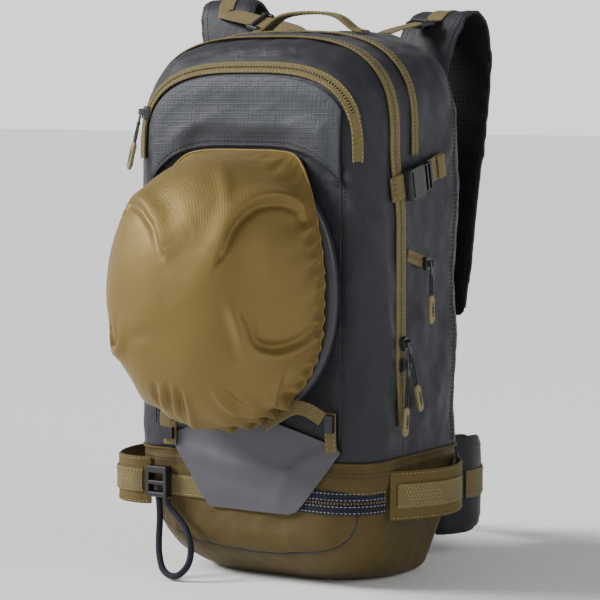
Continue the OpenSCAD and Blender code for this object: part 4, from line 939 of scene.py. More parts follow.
class MakeBoot(bpy.types.Operator):
    """Cut the olive boot with its seams, its navy zip and its webbing"""

    bl_idname = "backpack.boot"
    bl_label = "Base boot"

    def execute(self, context):
        deep = context.scene.backpack_sizes.wrinkle / MM
        levels = np.r_[np.linspace(BOOT_H, 30, 44), np.linspace(27.5, 10, 10), 7.5, 5.2, 3.4, 2.0, 1.0, 0.4]
        rings = np.array([boot_ring(z, 0.5) for z in levels])
        aim = np.array([0, 0, 70.0])
        away = outward(rings, True, aim)
        low = smooth(levels / 24)[:, None]
        dent = deep * (0.8 * ripple(rings, 74, 3) + 0.5 * ripple(rings * [1, 1, 0.5], 30, 4)) * low
        low_seam = self.lower_seam()
        dent += fold(rings, low_seam[::6], 3.4, -1.4) + fold(rings, low_seam[::6] + [0, 0, 8], 7.0, 1.2)
        dent = add_folds(dent, rings, (
            ([(145, -20, 128), (144, -5, 96), (140, 12, 60)], 9, 1.8),
            ([(144, 30, 124), (142, 40, 90), (136, 46, 50)], 8, 1.6),
            ([(128, -88, 66), (132, -70, 44), (126, -40, 20)], 9, 1.6),
            ([(-30, -104, 60), (20, -104, 52), (80, -103, 58)], 9, 1.6),
            ([(90, -104, 126), (118, -99, 112), (136, -80, 106)], 8, 1.4),
        ))
        strip = smooth((levels - 72) / 8) * smooth((112 - levels) / 8)
        dent = dent * (1 - strip[:, None] * smooth((-46 - rings[..., 1]) / 14)) - 0.5 * strip[:, None]
        dent += -1.3 * np.exp(-((levels - 127) / 1.6) ** 2)[:, None]
        flat, rings = rings, rings + away * dent[..., None]
        floor = rings[-1]
        inner = np.array([floor * [q, q, 1] + [0, 8 * (1 - q), 0.0] for q in (0.94, 0.7, 0.35)])
        cut = Cut()
        index = cut.grid(np.concatenate([rings, inner]), True)
        cut.tip(index[-1].tolist(), [0, 8, floor[0, 2]])
        boot = make_piece("boot_shell", cut, [CLOTH["boot"], CLOTH["lining"]], "pack", ["base_boot"])
        thicken(boot, 2.4, 1)
        seam_line("pack", settle(low_seam, flat, rings), 1.0)
        for z in (122.5, 118.5):
            ring = settle(boot_ring(z, 0.9, 300), flat, rings)
            seam("pack", "dark_thread", ring[15:285], unit(ring[15:285] * [1, 1, 0]))

        # Bound top edge of the boot
        ring = boot_ring(BOOT_H, 0.4, 360)
        cut = Cut()
        cut.tube(ring, 1.5, 8, 0, True)
        make_piece("boot_binding", cut, [CLOTH["boot"]], "pack", ())

        # Navy pocket zip that runs round the right front corner
        ring = boot_ring(92, 0, 900)
        start = np.argmin(np.linalg.norm(ring - [-46, boot_y(-46, 92), 92], axis=1))
        end = np.argmin(np.linalg.norm(ring - [boot_sizes(92)[0], -66, 92], axis=1))
        line = even(ring[min(start, end):max(start, end) + 1], 130)
        away = np.cross(unit(np.gradient(line, axis=0)), [0, 0, 1.0])
        away *= np.sign(np.sum(away * (line - [0, 0, 92]), -1).mean())
        cut = Cut()
        for shift in (-6.6, 6.6):
            cut.ribbon(line + away * 1.3 + [0, 0, shift], (0, 0, 1), 10.6, 1.4)
            for edge in (-3.2, 3.2):
                seam("pack", "pale_thread", line + away * 2.1 + [0, 0, shift + edge], away)
        make_piece("boot_zip_tape", cut, [CLOTH["navy"]], "pack", ["base_pocket_zip"], 40)
        coil("pack", line + away * 1.6, away)

        # Khaki strip between the flap and the ice axe buckle
        cut = Cut()
        strip = even([[-110, boot_y(-110, 95) - 1.5, 95], [-90, boot_y(-90, 95) - 1.5, 95],
                      [-48, boot_y(-48, 95) - 1.3, 94]], 24)
        cut.ribbon(strip, (0, 0, 1), 22)
        self.loops(cut)
        khaki_piece("boot_webbing", cut, "pack", ["base_webbing"])
        for z in (-8.5, 8.5):
            seam("pack", "thread", strip + [0, -0.9, z], (0, -1, 0))
        return {"FINISHED"}

    def lower_seam(self):
        """Curved seam across the boot's front that climbs the right corner."""
        route = spline([(-116, 0, 58), (-100, 0, 50), (-68, 0, 38), (-37, 0, 33), (10, 0, 32), (55, 0, 34),
                        (92, 0, 40), (112, 0, 52), (121, 0, 68), (124, 0, 84)], 8)
        return np.array([[x, boot_y(x, z) - 0.5, z] for x, z in route[:, [0, 2]]])

    def loops(self, webs):
        """Ski loops of canvas with webbing sewn on."""
        z = 97.0
        right = spline([(145.6, -62, z), (160.3, -44, z), (175.6, -16, z), (179, 12, z), (170.2, 42, z),
                        (153.5, 66, z), (143.1, 84, z)], 10)
        left = spline([(-118.2, -104.9, z), (-137, -109, z), (-160.3, -101, z), (-173.9, -77, z),
                       (-179, -43, z), (-172.2, -7, z), (-155.2, 21, z), (-146.8, 41, z)], 10)
        for name, path, sign in (("right", right, 1), ("left", left, -1)):
            path = even(path, 90)
            wave = ripple(path, 80, 11 + sign)
            cut = Cut()
            f = unit(np.gradient(path, axis=0))
            away = np.cross(f, [0, 0, 1.0]) * sign
            cut.ribbon(path + away * wave[:, None] * 0.8, (0, 0, 1), 50, 3.0)
            make_piece("ski_loop_" + name + "_band", cut, [CLOTH["canvas"]], "pack", ["ski_loop_" + name],
                       40)
            part = slice(4, 56) if sign > 0 else slice(4, 74)
            web = path[part] + away[part] * 2.6
            webs.ribbon(web, (0, 0, 1), 25)
            for edge in (-10.5, 10.5):
                seam("pack", "thread", web + away[part] + [0, 0, edge], away[part])
            for edge in (-22.5, 22.5):
                seam("pack", "thread", path[2:-2] + away[2:-2] * 1.8 + [0, 0, edge], away[2:-2])
            # Slanting bar tacks at the end nearer the front
            for i in range(4, 26, 2):
                slant = np.array([web[i] + away[i + 4] * 0.9 + [0, 0, 8],
                                  web[i + 4] + away[i + 8] * 0.9 + [0, 0, -8]])
                seam("pack", "thread", even(slant, 8), away[i + 6])


class MakeBody(bpy.types.Operator):
    """Cut the rear shell and the front panel, with their seams and wrinkles"""

    bl_idname = "backpack.body"
    bl_label = "Body shells"

    def execute(self, context):
        deep = context.scene.backpack_sizes.wrinkle / MM
        aim = np.array([0, 0, 330.0])
        # Rear shell, from the main zip to the back
        ys = np.r_[PART + 0.3, np.linspace(PART + 3, 67, 34),
                   BACK - EDGE + EDGE * np.sin(np.linspace(0.1, math.pi / 2, 14))]
        rings = np.array([arch(y, 0, BOOT_H + 0.3, 300) for y in ys])
        rings = zip_lean(rings)
        away = outward(rings, False, aim)
        calm = smooth((ys - PART) / 16)[:, None] * smooth((rings[..., 2] - 131) / 14)
        dent = deep * (1.3 * ripple(rings * [1, 1, 0.55], 92, 21) + 0.5 * ripple(rings, 36, 22)) * calm
        for side in (1, -1):
            dent = add_folds(dent, rings, [(np.array(route) * [side, 1, 1], width, height)
                                           for route, width, height in (
                ([(145, -22, 402), (145, 10, 396), (145, 60, 372)], 9, 2.4),
                ([(145, 34, 418), (144, 62, 452), (128, 76, 500)], 10, 2.2),
                ([(145, -26, 300), (145, 20, 262), (145, 70, 250)], 13, 2.2),
                ([(145, -28, 210), (145, 10, 190), (145, 66, 196)], 12, 2.0),
                ([(145, -22, 350), (145, 20, 338), (144, 70, 322)], 3, -2.2),
                ([(145, -10, 160), (145, 20, 180), (145, 50, 168)], 10, 2.0),
                ([(138, -28, 486), (134, 0, 498), (130, 30, 492)], 8, 1.8),
            )])
        # Groove of the seam that joins the back panel
        dent += -1.5 * np.exp(-((ys - 70) / 2.4) ** 2)[:, None]
        flat, rings = rings, rings + away * dent[..., None]
        back = rings[-1]
        inner = [back]
        for q in (0.9, 0.72, 0.5, 0.25):
            drawn = back * [q, 1, 1]
            drawn[:, 2] = 300 + (back[:, 2] - 300) * q
            inner.append(np.where(back[:, 2:3] > 135, drawn, back * [q, 1, 1]))
        cut = Cut()
        cut.grid(np.concatenate([rings, np.array(inner[1:])]))
        self.fill_back(cut, inner[-1])
        shell = make_piece("rear_shell", cut, [CLOTH["shell"], CLOTH["lining"]], "pack", ["main_shell"])
        thicken(shell, 2.2, 1)
        for side in (1, -1):
            for y in (66.5, 73.5):
                line = settle(arch(y, 0.4, 140, 160), flat, rings)
                part = line[:80] if side > 0 else line[80:]
                seam("pack", "dark_thread", part, unit(part * [1, 0, 0.4] - [0, 0, 130]))

        # Front panel, from the main zip over the rounded edge to its face
        ys = np.r_[np.linspace(PART - 0.3, FRONT + EDGE, 14)[:-1],
                   FRONT + EDGE - EDGE * np.sin(np.linspace(0, math.pi / 2, 20))]
        rings = np.array([self.hoop(y) for y in ys])
        rings = zip_lean(rings)
        face = [rings[-1]]
        for q in (0.96, 0.9, 0.82, 0.72, 0.6, 0.46, 0.3, 0.14):
            face.append((rings[-1] - [0, 0, 300]) * [q, 1, q] + [0, 0, 300])
        rings = np.concatenate([rings, np.array(face[1:])])
        away = outward(rings, True, (0, -50, 320))
        depth = np.r_[ys, np.full(len(face) - 1, FRONT)]
        calm = smooth((PART - depth) / 14)[:, None] * smooth((rings[..., 2] - 134) / 14)
        dent = deep * (1.0 * ripple(rings * [1, 1, 0.6], 84, 31) + 0.5 * ripple(rings, 34, 32)) * calm
        dent = add_folds(dent, rings, (
            ([(128, -92, 470), (136, -80, 440), (140, -70, 400)], 8, 2.2),
            ([(118, -100, 420), (130, -92, 380), (138, -80, 330)], 9, 2.4),
            ([(120, -100, 330), (126, -96, 280), (122, -99, 230)], 9, 2.2),
            ([(122, -99, 210), (134, -88, 190), (142, -70, 196)], 9, 2.0),
            ([(141, -68, 300), (143, -60, 250), (144, -56, 200)], 8, 2.0),
            ([(112, -104, 486), (112, -104, 300), (112, -104, 150)], 2.6, -2.0),
            ([(-112, -104, 440), (-112, -104, 300), (-112, -104, 150)], 2.6, -2.0),
            ([(60, -78, 538), (0, -78, 546), (-60, -78, 538)], 10, 1.8),
            ([(113, -104, 412), (131, -96, 396), (142, -78, 380)], 5, -2.4),
            ([(116, -103, 420), (134, -94, 407), (143, -76, 392)], 6, 2.4),
        ))
        # The cloth lies flat under the front pocket
        dent *= 1 - smooth((rings[..., 2] - 425) / 14) * smooth((-84 - rings[..., 1]) / 8)
        flat, rings = rings, rings + away * dent[..., None]
        cut = Cut()
        index = cut.grid(rings, True)
        cut.tip(index[-1].tolist(), [0, FRONT, 300])
        panel = make_piece("front_shell", cut, [CLOTH["panel"], CLOTH["lining"]], "front_panel",
                           ["front_panel_shell"])
        thicken(panel, 2.2, 1)
        for side, top in ((1, 430), (-1, 410)):
            z = np.linspace(top, 158, 120)
            x = np.full(z.shape, side * 112.0)
            line = settle(np.stack([x, panel_y(x, z), z], 1), flat, rings)
            seam_line("front_panel", line + [0, 0.2, 0], 1.1)
            line = settle(np.stack([x + 4, panel_y(x + 4, z) - 0.5, z], 1), flat, rings)
            seam("front_panel", "dark_thread", line, (0, -1, 0))
        return {"FINISHED"}

    def hoop(self, y):
        """A ring of the front panel with its lower edge."""
        over = arch(y, 0, BOOT_H + 0.9, 260)
        under = np.linspace(over[-1], over[0], 42)[1:-1]
        return np.vstack([over, under])

    def fill_back(self, cut, ring):
        """Closes the middle of the back face."""
        half = len(ring) // 2
        rows = np.array([np.linspace(ring[i], ring[len(ring) - 1 - i], 7) for i in range(half)])
        cut.grid(rows)


def over_body(line):
    """Directions along a route over the body and out of the cloth under it."""
    way = unit(np.gradient(line, axis=0))
    return way, unit(np.cross([0, 1.0, 0], way))


class MakeZips(bpy.types.Operator):
    """Sew in the khaki zips with their tapes"""

    bl_idname = "backpack.zips"
    bl_label = "Zips"

    def execute(self, context):
        # Main zip: one tape on each side of the parting line
        line = zip_lean(arch(PART, 0, 166, 420))
        way, n = over_body(line)
        s = unit(np.cross(way, n))
        s *= np.sign(s[:, 1:2])
        for body, name, sign in (("front_panel", "main_zip_front", -1), ("pack", "main_zip_rear", 1)):
            cut = Cut()
            cut.ribbon(line + s * sign * 5.0 + n * 0.9, s, 8.8, 1.5)
            tape_piece(name + "_tape", cut, body, [name])
            seam(body, "thread", line + s * sign * 7.4 + n * 1.8, n)
            # The rear coil starts one point on, so that the two halves interlock
            first = 1 if sign > 0 else 0
            coil(body, (line + (s * sign * 1.5 + n * 1.5))[first:], n[first:])
        # Top zip behind it
        line = zip_lean(arch(-8, 0, 430, 300))[6:-6]
        way, n = over_body(line)
        s = unit(np.cross(way, n))
        cut = Cut()
        for sign in (-1, 1):
            cut.ribbon(line + s * sign * 3.5 + n * 1.2, s, 5.6, 1.5)
            seam("pack", "thread", line + s * sign * 4.9 + n * 2.1, n)
        tape_piece("top_zip_tape", cut, "pack", ["top_zip"])
        coil("pack", line + n * 1.6, n)
        # Pocket zip over the front edge, with its garage tabs
        line = arch(-98.5, 0.6, 434, 300)
        way, flat = over_body(line)
        n = unit(flat * 0.559 - np.array([0, 0.829, 0]))
        s = unit(np.cross(way, n))
        high = line[:, 2] > 476
        cut = Cut()
        for sign in (-1, 1):
            cut.ribbon((line + s * sign * 3.7 + n * 0.9)[high], s[high], 5.8, 1.5)
            seam("front_panel", "thread", (line + s * sign * 5.2 + n * 1.8)[high], n[high])
        for tab in (line[:, 0] > 100, line[:, 0] < -100):
            tab = tab & (line[:, 2] < 482)
            cut.ribbon((line + n * 1.6)[tab], s[tab], 11.5, 2.2)
            for sign in (-1, 1):
                seam("front_panel", "thread", (line + s * sign * 4.4 + n * 2.8)[tab], n[tab])
        tape_piece("pocket_zip_tape", cut, "front_panel", ["pocket_zip"])
        coil("front_panel", (line + n * 1.5)[high], n[high])
        # Short side pocket zip
        way = np.array([0, math.cos(math.radians(-15)), math.sin(math.radians(-15))])
        up = np.array([0, -way[2], way[1]])
        line = np.array([145.3, -13, 334.0]) + np.linspace(-17, 17, 24)[:, None] * way
        cut = Cut()
        for sign in (-1, 1):
            cut.ribbon(line + up * sign * 3.6 + [1.0, 0, 0], up, 5.6, 1.5)
        tape_piece("side_zip_tape", cut, "pack", ["side_pocket_zip"])
        coil("pack", line + [1.5, 0, 0], np.array([1.0, 0, 0]))
        return {"FINISHED"}


class MakeFrontPocket(bpy.types.Operator):
    """Cut the ripstop front pocket with its rolled hem"""

    bl_idname = "backpack.front_pocket"
    bl_label = "Front pocket"

    def execute(self, context):
        x = np.linspace(-119, 112, 130)
        hem = 448.5 - 27 * (x / 105) ** 4
        top = 434 + 84.8 * (1 - (np.abs(x) / 121.9) ** 3) ** (1 / 3)
        v = np.linspace(0, 1, 44)[:, None]
        z = hem + (top - hem) * v
        xx = np.broadcast_to(x, z.shape)
        y = panel_y(xx, z)
        p = np.stack([xx, y, z], -1)
        puff = 2.0 + 3.2 * (1 - smooth((v - 0.2) / 0.75)) * smooth((112 - x) / 22) * smooth((x + 119) / 16)
        # The cloth lies close over the sling's top, its folds too
        snug = 1 - (1 - smooth(v / 0.34)) * smooth((74 - np.abs(x + 5)) / 26)
        puff = 1.6 + (puff - 1.6) * snug
        puff = puff + 0.8 * ripple(p, 70, 41) * np.sin(math.pi * v)
        puff = add_folds(puff, p, (
            ([(-100, -104, 440), (-60, -106, 470), (-20, -106, 478)], 9, 1.6),
            ([(98, -104, 440), (80, -106, 464), (40, -106, 470)], 9, 1.8),
            ([(60, -106, 452), (20, -106, 462), (-30, -106, 458)], 8, 1.4),
        ))
        p[..., 1] -= 1.2 + (puff - 1.2) * (0.25 + 0.75 * snug)
        cut = Cut()
        cut.grid(p, uv=np.stack([xx, z], -1))
        pocket = make_piece("pocket_panel", cut, [CLOTH["ripstop"], CLOTH["lining"]], "front_panel",
                            ["front_pocket"])
        thicken(pocket, 1.0, 1)
        cut = Cut()
        cut.tube(p[0] + [0, 0.5, 0.4], 1.5, 8)
        cut.tube(p[:, -1] + [0.4, 0, 0], 1.3, 8)
        make_piece("pocket_hem", cut, [CLOTH["panel"]], "front_panel", ())
        seam("front_panel", "dark_thread", p[3] - [0, 0.5, 0], (0, -1, 0))
        seam("front_panel", "dark_thread", p[4] - [0, 0.5, 1.5], (0, -1, 0))
        return {"FINISHED"}


class MakeSling(bpy.types.Operator):
    """Gather the satin sling over the helmet, with its straps and the grey flap below"""

    bl_idname = "backpack.sling"
    bl_label = "Sling, helmet and flap"

    def execute(self, context):
        self.helmet()
        gather = context.scene.backpack_sizes.gather / MM
        t = np.linspace(0, 2 * math.pi, 520, endpoint=False)[None, :]
        s = (np.linspace(0, 1, 120) ** 1.12 * 0.985)[:, None]
        p = dome(SLING_X, SLING_Z, SLING_W, SLING_H, SLING_B, RIM_Y, s, t)
        away = outward(p, True, (SLING_X, RIM_Y + 14, SLING_Z))
        puff = 1.8 * ripple(p, 130, 51, 2)
        puff = puff + self.gathers(s, np.degrees(t), gather)
        for places, reach, height in (
            ([(53, 350), (56, 372), (60, 386), (66, 396), (72, 399), (79, 397), (86, 389), (91, 380)],
             15, 7.5),
            ([(-74, 386), (-66, 395), (-43, 393), (-25, 382), (-15, 372), (-4, 352)], 13, 5.5),
            ([(104, 268), (99, 256), (90, 250), (81, 255), (77, 263), (75, 280)], 11, 7.5),
            ([(-63, 272), (-64, 256), (-77, 247), (-87, 249), (-85, 264)], 9, 5.0),
        ):
            puff = puff + lap(p, away, on_sling(places), reach, height)
        for places, width, height in (
            ([(66, 296), (70, 269), (70, 242)], 6, 5.5), ([(57, 286), (61, 262), (60, 240)], 7, -3.0),
            ([(39, 215), (43, 200), (44, 187)], 4.5, 5.5), ([(46, 216), (52, 202), (55, 192)], 4.5, -3.5),
            ([(83, 220), (76, 210), (66, 196)], 5, 5.5), ([(89, 230), (81, 215), (71, 200)], 4.5, -3.0),
            ([(-25, 215), (-30, 206), (-38, 192)], 3.6, -3.5),
            ([(-17, 215), (-22, 205), (-31, 190)], 3.6, 3.0),
            ([(-8, 216), (-14, 203), (-22, 188)], 3.6, -3.8), ([(-3, 215), (-8, 202), (-17, 186)], 3.4, 3.0),
            ([(2, 213), (-1, 200), (-11, 182)], 3.4, -3.8), ([(9, 209), (5, 192), (-12, 173)], 4, 4.5),
            ([(-47, 262), (-30, 266), (-17, 262)], 7, -2.0), ([(19, 430), (41, 410), (50, 390)], 8, 2.5),
            ([(30, 434), (48, 427), (65, 415)], 5, 2.5),
        ):
            puff = puff + fold(p, on_sling(places), width, height)
        puff = np.clip(puff, -4.2, 9) * smooth((1 - s) / 0.2 + 0.3)
        p = p + away * puff[..., None]
        # The rim is drawn in under its elastic, and its top runs up to the sewn hem under the pocket
        p[..., 0] = SLING_X + (p[..., 0] - SLING_X) * (1 - 0.016 * np.exp(-(s / 0.05) ** 2))
        lift = smooth((114 - np.abs(p[..., 0] - SLING_X)) / 56) * (np.sin(t) > 0) * np.exp(-(s / 0.04) ** 1.3)
        p[..., 1] += (-107.4 - p[..., 1]) * lift
        p[..., 2] += (443.9 - 27 * (p[..., 0] / 105) ** 4 - p[..., 2]) * lift
        cut = Cut()
        index = cut.grid(p, True)
        cut.tip(index[-1].tolist(), p[-1].mean(0) - [0, 0.4, 0])
        cover = make_piece("sling_satin_cover", cut, [CLOTH["sling"]], "helmet_sling", ["sling_cover"])
        cut = Cut()
        cut.tube(p[0], 1.5, 8, 0, True)
        hem = make_piece("sling_hem", cut, [CLOTH["sling"]], "helmet_sling", ())
        self.straps()
        self.flap()
        return {"FINISHED"}

    def gathers(self, s, angle, depth):
        """Ridges that run in from the elastic rim: short ones on the right, long pleats at the bottom."""
        rng = np.random.default_rng(52)
        out = np.zeros(np.broadcast_shapes(s.shape, angle.shape))
        for first, last, count, long, wide, bend, high in (
            (-38, 26, 12, 0.20, 1.7, -34, 1.5), (232, 308, 10, 0.34, 2.4, 8, 2.0),
            (310, 326, 3, 0.2, 2, -10, 0.8),
            (30, 74, 9, 0.10, 1.4, -10, 0.6), (100, 232, 26, 0.10, 1.6, 6, 0.5),
        ):
            for mid in np.linspace(first, last, count) + rng.normal(0, 0.9, count):
                reach = long * (0.75 + 0.5 * rng.random())
                off = (angle - mid - bend * s + 180) % 360 - 180
                slim = wide * (0.8 + 2.2 * s / reach)
                ridge = np.exp(-(off / slim) ** 2) - 0.6 * np.exp(-((off - 1.8 * slim) / slim) ** 2)
                out += high * depth * (0.7 + 0.6 * rng.random()) * ridge * np.exp(-(s / reach) ** 2)
        return out * (0.3 + 0.7 * smooth(s / 0.05))

    def helmet(self):
        """Smooth shell of the stowed helmet, with a rim trim and vents."""
        t = np.linspace(0, 2 * math.pi, 160, endpoint=False)
        wide, high, deep, crown = 104.5, 127.0, 116.5, RIM_Y + 3
        outer = []
        for y, less, cx in ((-105.6, 4.5, -2), (-106.2, 1.9, -2), (-108.5, 0.3, -2), (-112, 0, -2),
                            (-116, 0.2, -2), (-118.2, 1.5, -2.4), (-119.6, 4.5, -3.4), (-120.4, 8.5, -4.4)):
            outer.append(dome(cx, SLING_Z, 116.5 - less, 133 - 0.7 * less, 1, y, np.zeros(160), t))
        for s in np.linspace(0.02, 0.985, 44):
            outer.append(dome(SLING_X, SLING_Z, wide, high, deep, crown, np.full(160, s), t))
        inner = [dome(SLING_X, SLING_Z, wide - 8.5, high - 8, deep - 8.5, crown + 5, np.full(160, s), t)
                 for s in np.linspace(0.97, 0.0, 22)]
        inner.append(dome(-2, SLING_Z, 109, 125, 1, -106, np.zeros(160), t))
        cut = Cut()
        index = cut.grid(np.array(outer), True)
        cut.tip(index[-1].tolist(), [SLING_X, crown - deep - 0.1, SLING_Z])
        lining = cut.grid(np.array(inner), True, 1)
        cut.tip(lining[0].tolist(), [SLING_X, crown - deep + 13.5, SLING_Z], 1)
        cut.grid(np.array([inner[-1], outer[0]]), True, 1)
        # Vents, as shallow dark blocks that stand a little out of the shell
        for sx, sz in ((-34, 44), (34, 44), (-38, -8), (38, -8), (-32, -58), (32, -58)):
            q = (abs(sx) / wide) ** RIM_P + (abs(sz) / high) ** RIM_P
            y = crown - deep * (1 - q ** (DOME_P / RIM_P)) ** (1 / DOME_P) - 0.6
            lean = 0.35 * np.sign(sx)
            c, d = math.cos(lean), math.sin(lean)
            tilt = np.array([[c, 0, d], [0, 1, 0], [-d, 0, c]])
            cut.block((SLING_X + sx, y, SLING_Z + sz), (6.5, 1.4, 20), 2.6, 11, 24, 1, tilt)
        make_piece("helmet_smooth_shell", cut, [CLOTH["helmet"], CLOTH["foam"]], "front_panel",
                   ["stowed_helmet"], 40)

    def straps(self):
        """Webbing that hooks the sling's lower edge to the panel."""
        cut = Cut()
        right = even(spline([(38, -129, 169), (52, -128.6, 178), (72, -127.4, 188.5), (86, -123.5, 187),
                             (99, -116.4, 178)]), 30)
        left = even(spline([(-78, -129, 196), (-82, -126, 184), (-88, -121, 168), (-91, -116.4, 157)]), 30)
        cut.ribbon(right, (0.15, 0.2, 1), 14)
        cut.ribbon(left, (1, 0, 0.1), 14)
        khaki_piece("sling_webbing", cut, "helmet_sling", ["sling_straps"])
        cut = Cut()
        right = even(spline([(104.5, -110.6, 184), (104.5, -110.7, 168), (105.4, -111.2, 152),
                             (106.6, -111, 144.4)]), 26)
        left = even(spline([(-90, -110.6, 162), (-90, -110.7, 150), (-90, -110.6, 138)]), 18)
        cut.ribbon(right, (1, 0, 0), 13)
        cut.ribbon(left, (1, 0, 0), 16)
        khaki_piece("panel_tabs", cut, "front_panel", ["front_webbing_tabs"])
        for edge in (-4.5, 4.5):
            seam("front_panel", "thread", right[2:-2] + [edge, -0.9, 0], (0, -1, 0))
            seam("front_panel", "thread", left[2:-2] + [edge, -0.9, 0], (0, -1, 0))

    def flap(self):
        """Coated flap, bent back a little near its lower edge."""
        z = np.r_[np.linspace(168.3, 82, 66), np.linspace(81, 76.4, 8)]
        left = np.interp(-z, [-168.5, -152.8, -149.8, -134.8, -131.6, -84, -78, -76],
                         [-40, -80, -93, -84, -82, -49, -44, -38])
        right = np.interp(-z, [-168.5, -149.8, -143.8, -134.8, -131.6, -86, -79.5, -76],
                          [40, 111, 115.5, 108, 106, 69, 62, 52])
        v = np.linspace(0, 1, 76)[None, :]
        x = left[:, None] + (right - left)[:, None] * v
        y = np.full(x.shape, -108.6) - 0.5 * np.sin(math.pi * v) * smooth((150 - z) / 60)[:, None]
        p = np.stack([x, y, np.broadcast_to(z[:, None], x.shape)], -1)
        p[..., 1] += 1.0 * smooth((92 - z) / 16)[:, None]
        away = 0.5 * ripple(p, 60, 61)
        away = add_folds(away, p, (
            ([(-72, -108, 134), (-30, -108, 124), (20, -108, 116), (60, -108, 112)], 11, 3.4),
            ([(96, -108, 140), (66, -108, 126), (46, -108, 100), (42, -108, 86)], 9, 2.6),
            ([(-40, -108, 104), (-10, -108, 96), (20, -108, 88)], 10, 2.0),
        ))
        p[..., 1] -= away.clip(-0.6, 4)
        cut = Cut()
        cut.grid(p)
        flap = make_piece("stow_flap", cut, [CLOTH["flap"]], None, ["stow_flap_lower", "stow_flap_upper"])
        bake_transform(flap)


class MakeStraps(bpy.types.Operator):
    """Make the shoulder straps, the lifters, the handle and the compression straps"""

    bl_idname = "backpack.straps"
    bl_label = "Shoulder straps and webbing"

    def execute(self, context):
        right = spline([(70, 112.3, 449), (72, 113.3, 483), (78, 124, 543), (84, 146, 579), (92, 167, 581),
                        (97, 176, 559), (99, 174, 521), (100, 161, 443), (100, 147, 370), (99, 137, 302),
                        (98, 131, 262)], 8)
        left = spline([(-70, 112.3, 449), (-80, 113.3, 479), (-116, 115, 512), (-150, 116, 536),
                       (-168, 120, 564), (-177, 132, 593), (-180, 150, 602), (-178, 167, 587),
                       (-168, 175, 549), (-148, 174, 499), (-124, 161, 441), (-107, 147, 370),
                       (-99, 137, 302), (-98, 131, 262)], 8)
        cut, locks = Cut(), Cut()
        z0 = skin_z(52, 69) + 1.9
        for name, path, side, first in (("right", right, 1, 26), ("left", left, -1, 30)):
            path = even(path, 96)
            width = 68 - 14 * np.linspace(0, 1, 96) ** 2
            pad = pad_piece("shoulder_pad_" + name, path, np.array([1.0, 0, 0]), width, 14, "pack",
                            ["shoulder_strap_" + name])
            # Load lifter from the pack's top, sewn down along the top of the strap
            way = unit(np.gradient(path, axis=0))
            laid, up = lay_on(pad, (path - np.cross(way, [1.0, 0, 0]) * 14)[first:first + 13], 1.1)
            free = [(side * 62, 69, z0), (side * 64, 91, z0 + 5)]
            lifter = even(np.vstack([spline(free + [laid[0]], 10)[:-1], laid]), 80)
            cut.ribbon(lifter, (1, 0, 0), 20)
            self.ladder_lock(locks, lifter, 30)
            for edge in (-7.5, 7.5):
                seam("pack", "thread", laid[1:] + [edge, 0, 0] + up[1:] * 1.0, up[1:])
        for side in (1, -1):
            lower = spline([(98, 129, 237), (99, 119, 206), (100, 108, 168), (100, 106.9, 140)])
            cut.ribbon(even(lower * [side, 1, 1], 40), (1, 0, 0), 20)
        chest = even(spline([(96, 170.3, 439), (40, 174, 439), (4, 175.3, 439)]), 40)
        cut.ribbon(chest, (0, 0, 1), 20)
        chest = even(spline([(-124, 171.5, 439), (-50, 174.9, 439), (-16, 175.3, 439)]), 40)
        cut.ribbon(chest, (0, 0, 1), 20)
        khaki_piece("harness_webbing", cut, "pack", ["shoulder_webbing"])
        make_piece("lifter_locks", locks, [CLOTH["plastic"]], "pack", (), 50)

        # Grab handle: doubled webbing, stitched at its feet
        foot, tail = skin_z(55, 30) + 2.8, skin_z(67, 30) + 1.8
        half = [(67, 20, tail), (55, 20, foot), (33, 20, foot + 14)]
        path = even(spline([(-x, y, z) for x, y, z in half] + [(0, 20, CREST_Z + 18)] + half[::-1]), 80)
        cut = Cut()
        s, n = cut.ribbon(path, (0, 1, 0), 20, 3.0)
        khaki_piece("handle_webbing", cut, "pack", ["grab_handle"])
        for edge in (-7.5, 7.5):
            for sign in (-1, 1):
                seam("pack", "thread", path[1:-1] + s[1:-1] * edge + n[1:-1] * sign * 1.6, n[1:-1] * sign)

        # Compression straps with a folded tail
        tilt = math.radians(13)
        way = np.array([0, math.cos(tilt), math.sin(tilt)])
        up = np.array([0, -math.sin(tilt), math.cos(tilt)])
        cut = Cut()
        for side in (1, -1):
            mid = np.array([side * 149.2, -30, 412.0])
            for start, end in ((-34, -2), (4, 74)):
                k = np.linspace(start, end, 36)
                path = mid + k[:, None] * way
                path[:, 0] -= side * 2.4 * smooth((k - 40) / 30)
                path[:, 0] -= side * 2.4 * smooth((-18 - k) / 14)
                cut.ribbon(path, up, 25)
                away = np.array([side, 0, 0])
                for edge in (-10, 10):
                    seam("pack", "thread", path[1:-1] + up * edge + away * 0.95, away)
            for k in (-31, -27, 69, 65):
                bar = mid + k * way + np.linspace(-10, 10, 9)[:, None] * up + [side * -0.6, 0, 0]
                seam("pack", "dark_thread", bar, (side, 0, 0))
            fold_back = mid + np.linspace(58.5, 73, 20)[:, None] * way
            fold_back[:, 0] += side * (0.6 + 1.2 * np.sin(np.linspace(0, math.pi, 20)))
            cut.ribbon(fold_back, up, 24)
        khaki_piece("compression_strap_webbing", cut, "pack", ["compression_webbing"])
        return {"FINISHED"}

    def ladder_lock(self, cut, path, at):
        """Moulded ladder lock round a strap: three bars across it between two sides."""
        along = unit(path[at + 1] - path[at - 1])
        across = unit(np.array([1.0, 0, 0]) - along * along[0])
        up = np.cross(across, along)
        up *= np.sign(up[2])
        axes = np.array([across, along, up])
        for side in (-1, 1):
            cut.block(path[at] + across * side * 12.4, (2.0, 10, 2.4), 5, 9, 20, 0, axes)
        for shift, rise in ((-8, -2.6), (0, 2.8), (8, -2.6)):
            cut.block(path[at] + along * shift + up * rise, (13, 1.9, 1.7), 5, 9, 20, 0, axes)


